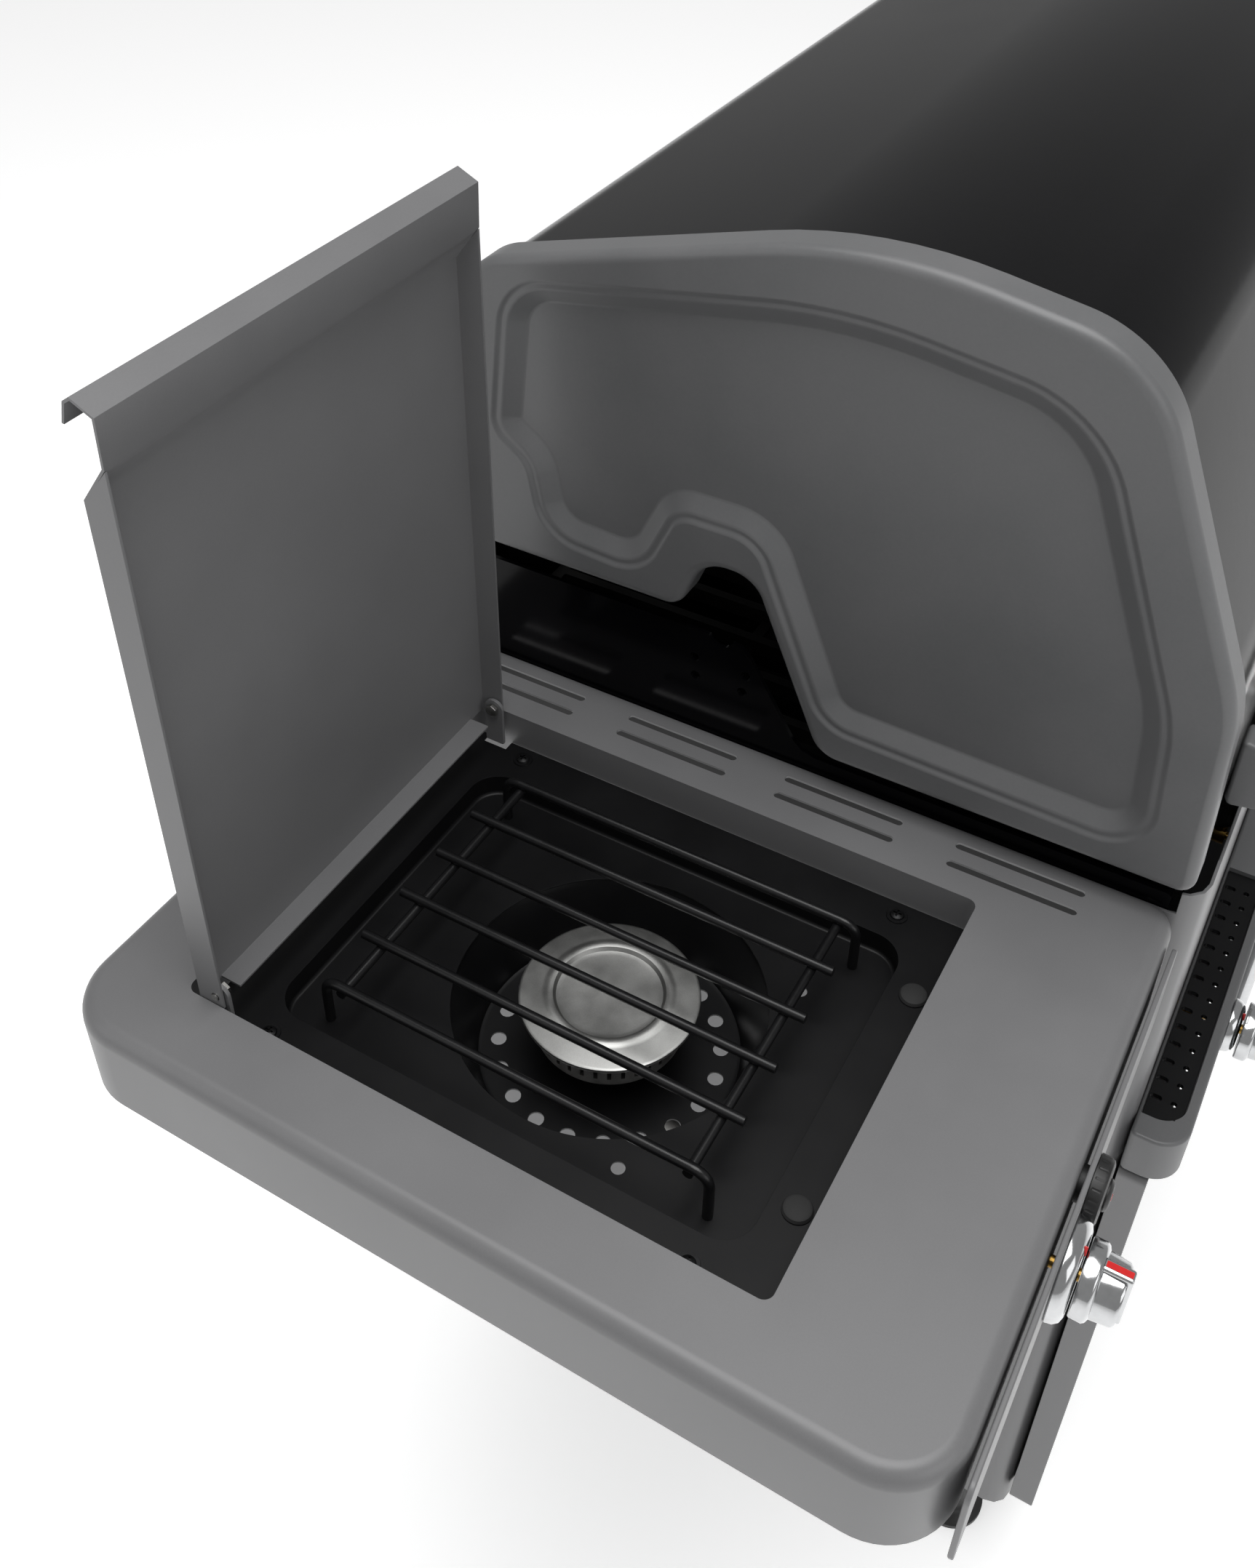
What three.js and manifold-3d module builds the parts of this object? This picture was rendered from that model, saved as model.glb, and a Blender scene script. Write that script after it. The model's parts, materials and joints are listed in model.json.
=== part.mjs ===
// Gas barbecue grill on a cabinet cart, with a side burner let into its left shelf.
// Millimetres, +Z up, the user stands at -Y. The floor is Z = 0 and X = 0 is the middle of the cabinet.
import * as THREE from "three";
import { mergeVertices } from "three/addons/utils/BufferGeometryUtils.js";
import Module from "manifold-3d";

const wasm = await Module();
wasm.setup();

// Driving dimensions
const fit = 0.3; // air left between pieces that touch
const sheet = 1.5; // pressed steel
const cabinet = { width: 660, depth: 528, panel: 2, cornerRadius: 18, post: 40, postDepth: 14, postRise: 14 };
const floorGap = 130; // underside of the base pan
const shelfHeight = 880; // top of both side shelves
const shelf = { width: 386, depth: 526, skirt: 61, rear: 274, edge: 10, corner: 42, inner: 20, overlap: 6 };
const opening = { width: 286, strip: 51.7, front: -146.8, rear: 214.8, edge: 48.3, flange: 28, corner: 6 };
const slots = { length: 81, width: 5.6, pitch: 116, first: 52, inset: 14, rowGap: 16.4, rows: 2, count: 4 };
const ledge = { depth: 35.7, height: 40, drop: 209, corner: 22, end: 19 };
const insert = { pocket: 256, bar: 7, thickness: 3.5, slotPitch: 18, margin: 11, pin: 2.2 };
const knob = { radius: 21, length: 24, bezelDepth: 9.7, stem: 3.5, pitch: 190 };
const lid = { length: 686, end: 25, wall: 2, rim: 7, recess: 9, castWall: 4, hingeY: 214, hingeZ: 144 };
const firebox = { wall: 3, drop: 190, rearRise: 80, frontRise: 9, clearance: 0.6, front: -245, rear: 256 };
const handle = { radius: 12, reach: 50, height: 67, inset: 66.7, bracket: 22 };
const wheel = { radius: 62, width: 30, x: 250, y: 215, axle: 6 };
const foot = { x: 290, radius: 20, pad: 30, padHeight: 8 };
const door = { depth: 20, gap: 4, bottom: 138 };
const wireRadius = 3;
const trivet = { width: 189, depth: 253, bars: 6, drop: 6.5 };
const tray = { sheet: 1.2, rear: 214.3, basinWidth: 226, basinFront: -118, basinRear: 191.5, basinDepth: 15 };
const burner = { y: 23, head: 46, cap: 54, capDrop: 36, depth: 43 };
const bowl = { radius: 94, ring: 80, throat: 20, holeCircle: 67.5, hole: 4.8, holes: 20 };
const burnerLid = { hingeY: 193, hingeZ: 6, back: 205.4, flange: 17.5, panel: 334, slope: 21, band: 25 };

// Places worked out from them
const halfWidth = cabinet.width / 2;
const halfDepth = cabinet.depth / 2;
const ledgeTop = shelfHeight - ledge.drop;
const ledgeFront = -halfDepth - ledge.depth - fit;
const knobZ = ledgeTop - ledge.height / 2;
const knobTip = ledgeFront - fit - knob.bezelDepth - knob.length;
const shelfInner = halfWidth + fit;
const rightShelfOuter = shelfInner + shelf.width;
const shelfFront = shelf.rear - shelf.depth;
const openingInner = shelfInner + opening.strip;
const openingOuter = openingInner + opening.width;
const leftShelfOuter = openingOuter + opening.edge;
const burnerX = -(openingOuter + openingInner) / 2;
const openingMiddle = (opening.front + opening.rear) / 2;
const lidHalf = lid.length / 2;
const lidInside = lidHalf - lid.end - fit;
const fasciaFace = shelfFront - 6;
const sideTube = { y: -232, z: shelfHeight - 42, radius: 4 };
const valve = { x: burnerX - 28, z: sideTube.z };
const igniter = { x: burnerX + 12, z: -27, radius: 19, button: 9, travel: 3 };
const thermometer = { z: 140, radius: 36 };
const lidFoot = { front: 26, rear: 104, frontY: -256, rearY: 250, archY: 47, archTop: 145, archHalf: 26 };
const handleHalf = lidInside - handle.inset;
const handleY = lidFoot.frontY - handle.reach + handle.radius;

// Solids
function solidOf(geometry) {
  const bare = geometry.index ? geometry.toNonIndexed() : geometry.clone();
  bare.deleteAttribute("normal");
  bare.deleteAttribute("uv");
  const merged = mergeVertices(bare, 1e-4);
  return new wasm.Manifold(
    new wasm.Mesh({
      numProp: 3,
      vertProperties: merged.attributes.position.array,
      triVerts: new Uint32Array(merged.index.array),
    }),
  );
}

function geometryOf(solid) {
  const { vertProperties, triVerts } = solid.getMesh();
  const geometry = new THREE.BufferGeometry();
  geometry.setAttribute("position", new THREE.BufferAttribute(vertProperties, 3));
  geometry.setIndex(new THREE.BufferAttribute(triVerts, 1));
  geometry.computeVertexNormals();
  return geometry;
}

const joined = (first, ...rest) => rest.reduce((sum, piece) => sum.add(piece), first);
const cut = (first, ...rest) => rest.reduce((sum, piece) => sum.subtract(piece), first);

function box(x0, x1, y0, y1, z0, z1) {
  const geometry = new THREE.BoxGeometry(x1 - x0, y1 - y0, z1 - z0);
  geometry.translate((x0 + x1) / 2, (y0 + y1) / 2, (z0 + z1) / 2);
  return solidOf(geometry);
}

// A closed outline through corners [u, v, radius], each rounded by an arc.
function outline(corners) {
  const points = [];
  corners.forEach(([u, v, radius = 0], i) => {
    const here = new THREE.Vector2(u, v);
    const before = corners[(i + corners.length - 1) % corners.length];
    const after = corners[(i + 1) % corners.length];
    const toBefore = new THREE.Vector2(before[0] - u, before[1] - v).normalize();
    const toAfter = new THREE.Vector2(after[0] - u, after[1] - v).normalize();
    const half = Math.acos(THREE.MathUtils.clamp(toBefore.dot(toAfter), -1, 1)) / 2;
    if (radius === 0 || Math.PI / 2 - half < 0.01) {
      points.push(here);
      return;
    }
    const centre = toBefore.clone().add(toAfter).normalize();
    centre.multiplyScalar(radius / Math.sin(half)).add(here);
    const start = toBefore.clone().multiplyScalar(radius / Math.tan(half)).add(here).sub(centre);
    const turn = (Math.PI - 2 * half) * Math.sign(toBefore.cross(toAfter)) * -1;
    const steps = Math.max(1, Math.ceil(Math.abs(turn) / (radius < 5 ? 1.6 : 0.6)));
    for (let step = 0; step <= steps; step += 1) {
      points.push(start.clone().rotateAround(new THREE.Vector2(), (turn * step) / steps).add(centre));
    }
  });
  return new THREE.Shape(points);
}

const rectangle = (u0, u1, v0, v1, radius = 0) =>
  outline([[u0, v0, radius], [u1, v0, radius], [u1, v1, radius], [u0, v1, radius]]);

// The closed outline of a bent strip that follows an open line of [u, v] points.
function strip(line, thickness) {
  const points = line.map(([u, v]) => new THREE.Vector2(u, v));
  const shifted = points.map((point, i) => {
    const into = point.clone().sub(points[Math.max(i - 1, 0)]);
    const out = points[Math.min(i + 1, points.length - 1)].clone().sub(point);
    const along = into.normalize().add(out.normalize()).normalize();
    const turned = out.lengthSq() > 0 ? out : into;
    const normal = new THREE.Vector2(-along.y, along.x);
    const spread = Math.abs(normal.x * -turned.y + normal.y * turned.x);
    return point.clone().add(normal.multiplyScalar(thickness / spread));
  });
  return new THREE.Shape([...points, ...shifted.reverse()]);
}

const axes = {
  x: new THREE.Matrix4().makeBasis(
    new THREE.Vector3(0, 1, 0), new THREE.Vector3(0, 0, 1), new THREE.Vector3(1, 0, 0)),
  y: new THREE.Matrix4().makeBasis(
    new THREE.Vector3(1, 0, 0), new THREE.Vector3(0, 0, 1), new THREE.Vector3(0, -1, 0)),
  z: new THREE.Matrix4(),
};

// A prism along an axis: its outline is in (y, z) for x, in (x, z) for y and in (x, y) for z.
function prism(axis, shape, from, to, bevel = 0) {
  const rounding = bevel > 0
    ? { bevelEnabled: true, bevelThickness: bevel, bevelSize: bevel, bevelOffset: -bevel, bevelSegments: 2 }
    : { bevelEnabled: false };
  const geometry = new THREE.ExtrudeGeometry(shape, { depth: to - from - 2 * bevel, ...rounding });
  geometry.translate(0, 0, bevel);
  geometry.applyMatrix4(axes[axis]);
  const shift = { x: [from, 0, 0], y: [0, to, 0], z: [0, 0, from] }[axis];
  geometry.translate(...shift);
  return solidOf(geometry);
}

function rod(axis, [u, v], radius, from, to, segments = 14) {
  const circle = Array.from({ length: segments }, (_, i) => {
    const angle = ((i + 0.5) / segments) * 2 * Math.PI;
    return new THREE.Vector2(u + radius * Math.cos(angle), v + radius * Math.sin(angle));
  });
  return prism(axis, new THREE.Shape(circle), from, to);
}

// A turned piece on a vertical axis; the profile is a list of [radius, z].
function turned([x, y], profile, segments = 24) {
  const points = profile.map(([radius, z]) => new THREE.Vector2(radius, z));
  const geometry = new THREE.LatheGeometry(points, segments);
  geometry.rotateX(Math.PI / 2);
  geometry.translate(x, y, 0);
  return solidOf(geometry);
}

// A round bar or tube along a smooth line of [x, y, z] points.
function bar(points, radius, steps, sides = 8) {
  const places = points.map((point) => new THREE.Vector3(...point));
  const path = new THREE.CatmullRomCurve3(places, false, "centripetal");
  const circle = Array.from({ length: sides }, (_, i) => {
    const angle = (i / sides) * 2 * Math.PI;
    return new THREE.Vector2(radius * Math.cos(angle), radius * Math.sin(angle));
  });
  const sweep = { steps, extrudePath: path, bevelEnabled: false };
  return solidOf(new THREE.ExtrudeGeometry(new THREE.Shape(circle), sweep));
}

// Materials
const finish = (color, roughness, metalness) =>
  new THREE.MeshStandardMaterial({ color, roughness, metalness });
const greyPaint = finish(0x7a7a7a, 0.45, 0.3);
const castGrey = finish(0x555555, 0.5, 0.3);
const glossBlack = finish(0x151515, 0.15, 0.2);
const blackEnamel = finish(0x1b1b1b, 0.35, 0.1);
const castIron = finish(0x222222, 0.7, 0.4);
const stainless = finish(0xb5b5b5, 0.35, 1);
const aluminium = finish(0xbcbcbc, 0.4, 1);
const chrome = finish(0xd8d8d8, 0.1, 1);
const brass = finish(0xb08d4a, 0.35, 1);
const blackPlastic = finish(0x181818, 0.5, 0);
const rubber = finish(0x202020, 0.8, 0);

function piece(name, solid, material, mirrored = false) {
  const mesh = new THREE.Mesh(geometryOf(solid), material);
  mesh.name = name;
  mesh.scale.x = mirrored ? -1 : 1;
  return mesh;
}

function groupOf(pieces, z = 0) {
  const group = new THREE.Group();
  group.add(...pieces);
  group.position.z = z;
  return group;
}

// Cart
function sidePanel() {
  const { panel, cornerRadius, post, postDepth, postRise } = cabinet;
  const plan = outline([
    [-halfWidth, halfDepth],
    [-halfWidth, -halfDepth, cornerRadius],
    [-halfWidth + post, -halfDepth],
    [-halfWidth + post, -halfDepth + panel],
    [-halfWidth + panel, -halfDepth + panel, cornerRadius - panel],
    [-halfWidth + panel, halfDepth],
  ]);
  return cut(
    prism("z", plan, floorGap - 20, shelfHeight + postRise),
    box(
      -halfWidth - 1, -halfWidth + post, -halfDepth + postDepth, halfDepth + 1,
      shelfHeight - 3, shelfHeight + 20),
    rod("x", [sideTube.y, knobZ], sideTube.radius + 2, -halfWidth - 1, -halfWidth + panel + 1, 12),
  );
}

function basePan() {
  const x = halfWidth - cabinet.panel - fit;
  const y = halfDepth - cabinet.panel - fit;
  const pan = cut(
    prism("z", rectangle(-x, x, -y, y, cabinet.cornerRadius), floorGap, floorGap + 20),
    prism(
      "z", rectangle(-x + 2, x - 2, -y + 2, y - 2, cabinet.cornerRadius - 2), floorGap + 2, floorGap + 21),
  );
  const brackets = [-1, 1].map((side) => {
    const middle = side * (wheel.y - wheel.width / 2 - 6);
    return box(wheel.x - 22, wheel.x + 22, middle - 2, middle + 2, wheel.radius - 12, floorGap + 1);
  });
  return cut(
    joined(pan, ...brackets),
    rod("y", [wheel.x, wheel.radius], wheel.axle + fit, -wheel.y - wheel.width, wheel.y + wheel.width),
  );
}

function wheelAt(y) {
  const { radius, width, axle } = wheel;
  const half = width / 2;
  const disc = turned([0, 0], [
    [axle + fit, -half - 2], [axle + 12, -half - 2], [axle + 12, -half + 6], [radius - 14, -half + 6],
    [radius - 12, -half], [radius - 4, -half], [radius, -half + 5], [radius, half - 5], [radius - 4, half],
    [radius - 12, half], [radius - 14, half - 6], [axle + 12, half - 6], [axle + 12, half + 2],
    [axle + fit, half + 2], [axle + fit, -half - 2],
  ], 20);
  const mesh = piece(y < 0 ? "front_wheel" : "rear_wheel", disc, rubber);
  mesh.rotation.x = Math.PI / 2;
  mesh.position.set(wheel.x, y, wheel.radius);
  return mesh;
}

const footAt = (y) => turned([-foot.x, y], [
  [0, 0], [foot.pad, 0], [foot.pad, foot.padHeight], [foot.radius, foot.padHeight + 6],
  [foot.radius, floorGap - fit], [0, floorGap - fit],
], 16);

function doorPanel() {
  const top = ledgeTop - ledge.height - door.gap;
  const rear = -halfDepth - 0.5;
  const outer = prism("y", rectangle(-halfWidth, -1, door.bottom, top, 6), rear - door.depth, rear);
  const hollow = box(-halfWidth + 3, -4, rear - door.depth + 2, rear + 1, door.bottom + 3, top - 3);
  return cut(outer, hollow);
}

function doorHandle() {
  const face = -halfDepth - 0.5 - door.depth - fit;
  const x = -28;
  const z = ledgeTop - ledge.height - 110;
  const grip = rod("z", [x, face - 22], 6, z - 70, z + 70, 12);
  const posts = [-50, 50].map((rise) => rod("y", [x, z + rise], 5, face - 22, face, 12));
  return joined(grip, ...posts);
}

function ledgeFrame() {
  const rear = -halfDepth - fit;
  const bottom = ledgeTop - ledge.height;
  const plan = outline([
    [-halfWidth, rear, 1], [-halfWidth, ledgeFront, ledge.corner],
    [halfWidth, ledgeFront, ledge.corner], [halfWidth, rear, 1],
  ]);
  const frame = prism("z", plan, bottom, ledgeTop);
  const pockets = [-1, 1].map((side) => {
    const end = side * (halfWidth - ledge.end);
    const inner = end - side * insert.pocket;
    const [x0, x1] = [Math.min(end, inner), Math.max(end, inner)];
    const upper = insertPlan(x0, x1, side, 0);
    return joined(
      prism("z", upper, ledgeTop - 3 - insert.thickness - fit, ledgeTop + 1),
      box(x0 + 4, x1 - 4, ledgeFront + insert.bar + 5, rear - 4, bottom - 1, ledgeTop),
    );
  });
  const middle = halfWidth - ledge.end - insert.pocket - 3;
  const hollow = box(-middle, middle, ledgeFront + 3, rear - 3, bottom - 1, ledgeTop - 3);
  return cut(frame, ...pockets, hollow, ...stemHoles(0.8));
}

// The outline of a perforated insert, drawn in by an even margin from its pocket.
function insertPlan(x0, x1, side, margin) {
  const front = ledgeFront + insert.bar + margin;
  const rear = -halfDepth - fit - 2 - margin;
  const [left, right] = side < 0 ? [ledge.corner - 4, 2] : [2, ledge.corner - 4];
  return outline([
    [x0 + margin, rear, 1], [x0 + margin, front, left], [x1 - margin, front, right], [x1 - margin, rear, 1],
  ]);
}

function ledgeInsert() {
  const x0 = -halfWidth + ledge.end;
  const x1 = x0 + insert.pocket;
  const top = ledgeTop - 3;
  const plate = prism("z", insertPlan(x0, x1, -1, fit + 0.4), top - insert.thickness, top);
  const run = insert.pocket - 2 * insert.margin;
  const count = Math.floor(run / insert.slotPitch) + 1;
  const places = Array.from({ length: count }, (_, i) => x0 + insert.margin + (i + 0.5) * (run / count));
  const slotCuts = places.map((x) =>
    prism("z", rectangle(x - 2.4, x + 2.4, -halfDepth - 12, -halfDepth - 4), top - 5, top + 1));
  const pinCuts = places.map((x) => rod("z", [x, -halfDepth - 20], insert.pin, top - 5, top + 1, 6));
  return cut(plate, ...slotCuts, ...pinCuts);
}

const stemHoles = (clearance) => [-1, 0, 1].map((i) =>
  rod("y", [i * knob.pitch, knobZ], knob.stem + clearance, ledgeFront - 1, -halfDepth + 3, 12));

function frontPanel() {
  const half = halfWidth - cabinet.post - fit;
  const top = shelfHeight + firebox.frontRise;
  return cut(box(-half, half, -halfDepth, -halfDepth + 2, ledgeTop - ledge.height, top), ...stemHoles(1.5));
}

// Gas train
function mainKnob(x) {
  const face = ledgeFront - fit - knob.bezelDepth;
  return knobSolid(x, knobZ, face);
}

function knobSolid(x, z, face) {
  const grip = box(x - 4, x + 4, face - knob.length, face - 6, z - knob.radius + 1, z + knob.radius - 1);
  const skirt = rod("y", [x, z], knob.radius, face - 9, face, 16);
  const drum = rod("y", [x, z], knob.radius - 4, face - knob.length + 2, face - 8, 16);
  return cut(joined(skirt, drum, grip), rod("y", [x, z], knob.stem + 0.6, face - 12, face + 1, 8));
}

const manifoldPipe = () => {
  const reach = halfWidth - 30;
  const pipe = rod("x", [sideTube.y, knobZ], 9, -reach, reach, 16);
  const taps = [-1, 0, 1].map((i) =>
    rod("x", [sideTube.y, knobZ], 10.5, i * knob.pitch - 14, i * knob.pitch + 14, 16));
  return cut(joined(pipe, ...taps), rod("x", [sideTube.y, knobZ], 6, -reach - 1, reach + 1, 12));
};

function mainValve(x) {
  const body = joined(
    rod("y", [x, knobZ], 8, -255, sideTube.y - 10.5 - fit, 16),
    rod("y", [x, knobZ], knob.stem, ledgeFront - fit - knob.bezelDepth - 11, -250, 12),
    rod("z", [x, -249], 5, knobZ, knobZ + 16, 12),
  );
  return body;
}

function sideGasTube() {
  const riser = -halfWidth - 24;
  const { y, z, radius } = sideTube;
  return bar([
    [-halfWidth + 30 - fit, y, knobZ], [riser + 18, y, knobZ],
    [riser + 4, y, knobZ + 6], [riser, y, knobZ + 22],
    [riser, y, z - 24], [riser - 6, y, z - 5], [riser - 24, y, z], [valve.x + 9 + fit, y, z],
  ], radius, 24, 6);
}

const sideValve = () => joined(
  box(valve.x - 9, valve.x + 9, sideTube.y - 9, sideTube.y + 9, valve.z - 9, valve.z + 9),
  rod("y", [valve.x, valve.z], knob.stem, fasciaFace - knob.bezelDepth - fit - 11, sideTube.y, 12),
  rod("y", [valve.x, valve.z], 5, sideTube.y, sideTube.y + 20, 12),
);

// Cook box
function fireboxSolid() {
  const { wall, drop, rearRise, frontRise, front, rear, clearance } = firebox;
  const half = halfWidth - cabinet.panel - clearance;
  const bottom = [[front, -drop + 50, 10], [-120, -drop, 10], [120, -drop, 10], [rear, -drop + 50, 10]];
  const side = outline([
    ...bottom, [rear, rearRise, 10], [40, rearRise, 18], [-4, frontRise, 22], [front, frontRise, 2],
  ]);
  const inside = outline([
    [front + wall, -drop + 50 + wall, 7], [-120, -drop + wall, 7], [120, -drop + wall, 7],
    [rear - wall, -drop + 50 + wall, 7], [rear - wall, rearRise + 50], [front + wall, rearRise + 50],
  ]);
  const shell = cut(
    prism("x", side, -half, half),
    prism("x", inside, -half + wall, half - wall),
    box(-half - 1, half + 1, front - 1, front + 60, frontRise + 0.5, rearRise + 40),
    box(-110, 110, -40, 40, -drop - 5, -drop + 10),
  );
  const supports = [
    box(-half + 1, half - 1, front + 1, front + 16, -26, -22),
    box(-half + 1, half - 1, rear - 14, rear - 1, -26, -22),
    ...[-1, 1].map((s) => box(s < 0 ? -146 : 141, s < 0 ? -141 : 146, -118, 118, -216, -drop + 1)),
    ...[-1, 1].map((s) => box(s < 0 ? -146 : 130, s < 0 ? -130 : 146, -118, 118, -218, -215)),
  ];
  const ear = lidInside - 5;
  const ears = [-1, 1].flatMap((s) => {
    const [x0, x1] = s < 0 ? [-ear, -ear + 3] : [ear - 3, ear];
    const [f0, f1] = s < 0 ? [-half + 1, -ear + 3] : [ear - 3, half - 1];
    return [
      box(x0, x1, lid.hingeY - 14, lid.hingeY + 14, 50, lid.hingeZ),
      rod("x", [lid.hingeY, lid.hingeZ], 14, x0, x1),
      box(f0, f1, lid.hingeY - 14, lid.hingeY + 14, 50, 54),
    ];
  });
  const holes = [-1, 1].flatMap((s) => [
    rod("x", [lid.hingeY, lid.hingeZ], 5 + fit, s * ear - 6, s * ear + 6, 16),
    ...[[74, 57], [73, 42], [37, 56], [39, 42]].map((place) =>
      rod("x", place, 3.5, s * half - 5, s * half + 5, 10)),
    rod("x", [56, rearRise + 2], 9, s * half - 5, s * half + 5, 16),
  ]);
  const burnerHoles = [-1, 0, 1].map((i) =>
    box(i * knob.pitch - 15, i * knob.pitch + 15, front - 5, -195, -185, -98));
  return cut(joined(shell, ...supports, ...ears), ...holes, ...burnerHoles);
}

function tubeBurner(x) {
  const line = [
    [x, -247, knobZ + 17 - shelfHeight], [x, -246, -190], [x, -238, -150], [x, -215, -126], [x, -185, -120],
    [x, 0, -120], [x, 235, -120],
  ];
  const bore = [[x, -247, knobZ - shelfHeight], ...line.slice(0, -1), [x, 230, -120]];
  return cut(bar(line, 12.5, 12, 8), bar(bore, 11, 12, 8));
}

const flameTamer = (x) => prism(
  "y", strip([[x - 48, -92], [x - 34, -86], [x, -58], [x + 34, -86], [x + 48, -92]], sheet), -238, 236);

function cookingGrate() {
  const inner = 1;
  const outer = halfWidth - cabinet.panel - firebox.clearance - firebox.wall - 3;
  const [front, rear] = [firebox.front + 5, firebox.rear - 5];
  const [z0, z1] = [-21.7, -10];
  const frame = cut(
    box(-outer, -inner, front, rear, z0, z1),
    box(-outer + 9, -inner - 9, front + 9, rear - 9, z0 - 1, z1 + 1),
  );
  const count = 9;
  const pitch = (outer - inner - 9) / count;
  const bars = Array.from({ length: count - 1 }, (_, i) => {
    const x = -outer + 4.5 + (i + 1) * pitch;
    return box(x - 3.5, x + 3.5, front + 8, rear - 8, z0, z1);
  });
  const ties = [-85, 85].map((y) => box(-outer + 8, -inner - 8, y - 4, y + 4, z0, z0 + 5));
  return joined(frame, ...bars, ...ties);
}

const greaseTray = () => cut(
  joined(box(-139, 139, -116, 116, -214.5, -213), box(-128, 128, -114, 114, -229, -213)),
  box(-126.5, 126.5, -112.5, 112.5, -227.5, -210),
  rod("z", [0, 0], 12, -235, -220),
);

const greaseCup = () => turned([0, 0], [
  [0, -300], [36, -300], [42, -229.5], [40.5, -229.5], [34.6, -298.5], [0, -298.5],
], 20);

// Lid. Its outline in (y, z) rises from the front lower corner, over the top and down to the hinge side.
const lidCrown = [
  [-252, 160, 120], [-172, 352, 80], [-20, 378, 300], [232, 308, 45], [252, 200, 50],
];

function lidOutline() {
  const { front, rear, frontY, rearY, archY, archTop, archHalf } = lidFoot;
  return outline([
    [frontY, front, 10], ...lidCrown, [rearY, rear, 12],
    [archY + archHalf + 8, rear, 14], [archY + archHalf - 8, archTop, 24],
    [archY - archHalf + 10, archTop, 22], [-21, front, 22],
  ].reverse());
}

function recessOutline() {
  return outline([
    [-218, 54, 22], [-212, 140, 120], [-146, 310, 70], [-10, 330, 300], [196, 294, 30], [206, 200, 10],
    [182, 183, 30], [172, 134, 24], [112, 130, 24], [88, 183, 24], [24, 183, 34], [-28, 60, 22],
  ].reverse());
}

function lidEnd() {
  const { castWall, recess, rim } = lid;
  const x0 = -lidHalf;
  const x1 = -lidInside - fit;
  const shape = lidOutline();
  const outer = prism("x", shape, x0, x1 + rim, rim);
  const inner = scaledLoop(shape, castWall);
  const dish = prism("x", recessOutline(), x0 - 20, x0 + recess, 6);
  return cut(
    outer.intersect(box(x0 - 1, x1, -400, 400, -10, 500)),
    prism("x", inner, x0 + recess + castWall, x1 + 1),
    cut(dish, rod("x", [lid.hingeY, lid.hingeZ], 26, x0 - 30, x1, 24)),
    rod("x", [lid.hingeY, lid.hingeZ], 5 + fit, x0 - 1, x1 + 1, 16),
  );
}

// An outline drawn in by an even margin.
function scaledLoop(shape, margin) {
  const points = shape.getPoints().filter((point, i, all) => i === 0 || point.distanceTo(all[i - 1]) > 0.5);
  if (points[0].distanceTo(points[points.length - 1]) < 0.5) points.pop();
  const sign = THREE.ShapeUtils.isClockWise(points) ? -1 : 1;
  return new THREE.Shape(points.map((point, i) => {
    const before = points[(i + points.length - 1) % points.length];
    const after = points[(i + 1) % points.length];
    const a = point.clone().sub(before).normalize();
    const b = after.clone().sub(point).normalize();
    const normal = new THREE.Vector2(-(a.y + b.y), a.x + b.x).normalize();
    const spread = Math.max(0.4, Math.abs(normal.dot(new THREE.Vector2(-a.y, a.x))));
    return point.clone().add(normal.multiplyScalar((sign * margin) / spread));
  }));
}

function lidBarrel() {
  const { front, rear, frontY, rearY } = lidFoot;
  const skin = (margin, low) => outline([
    [frontY + 4 + margin, front + low, 1],
    ...lidCrown.map(([y, z, r], i) => [
      y + (i < 2 ? 4 + margin : i < 3 ? 0 : -4 - margin), z - 4 - margin, r]),
    [rearY - 4 - margin, rear + low, 1], [rearY - 40, rear + low], [frontY + 40, front + low],
  ].reverse());
  const shell = cut(
    prism("x", skin(0, 0), -lidInside, lidInside),
    prism("x", skin(lid.wall, -60), -lidInside - 1, lidInside + 1),
    box(-lidInside - 1, lidInside + 1, frontY + 20, rearY - 20, -100, 150),
  );
  const corner = lidInside - 12;
  return cut(
    shell,
    box(-lidInside - 1, -corner, 150, 260, 60, lid.hingeZ + 45),
    box(corner, lidInside + 1, 150, 260, 60, lid.hingeZ + 45),
    rod("y", [0, thermometer.z], 6, frontY - 10, frontY + 20, 12),
  );
}

const thermometerSolid = () => joined(
  rod("y", [0, thermometer.z], thermometer.radius, lidFoot.frontY - 9, lidFoot.frontY + 1.5, 20),
  rod("y", [0, thermometer.z], 4, lidFoot.frontY, lidFoot.frontY + 60, 12),
);

const handleTube = () => rod("x", [handleY, handle.height], handle.radius, -handleHalf, handleHalf, 16);

function handleBracket() {
  const x0 = -handleHalf - fit - handle.bracket;
  const side = outline([
    [lidFoot.frontY + 2.5, handle.height - 26, 4], [lidFoot.frontY + 2.5, handle.height + 26, 4],
    [handleY - 15, handle.height + 15, 12], [handleY - 15, handle.height - 15, 12],
  ].reverse());
  return prism("x", side, x0, -handleHalf - fit, 3);
}

const hingePin = () => joined(
  rod("x", [lid.hingeY, lid.hingeZ], 5, -lidHalf + 2, -lidInside + 10, 16),
  rod("x", [lid.hingeY, lid.hingeZ], 9, -lidInside + 8.5, -lidInside + 14, 6),
);

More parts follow.
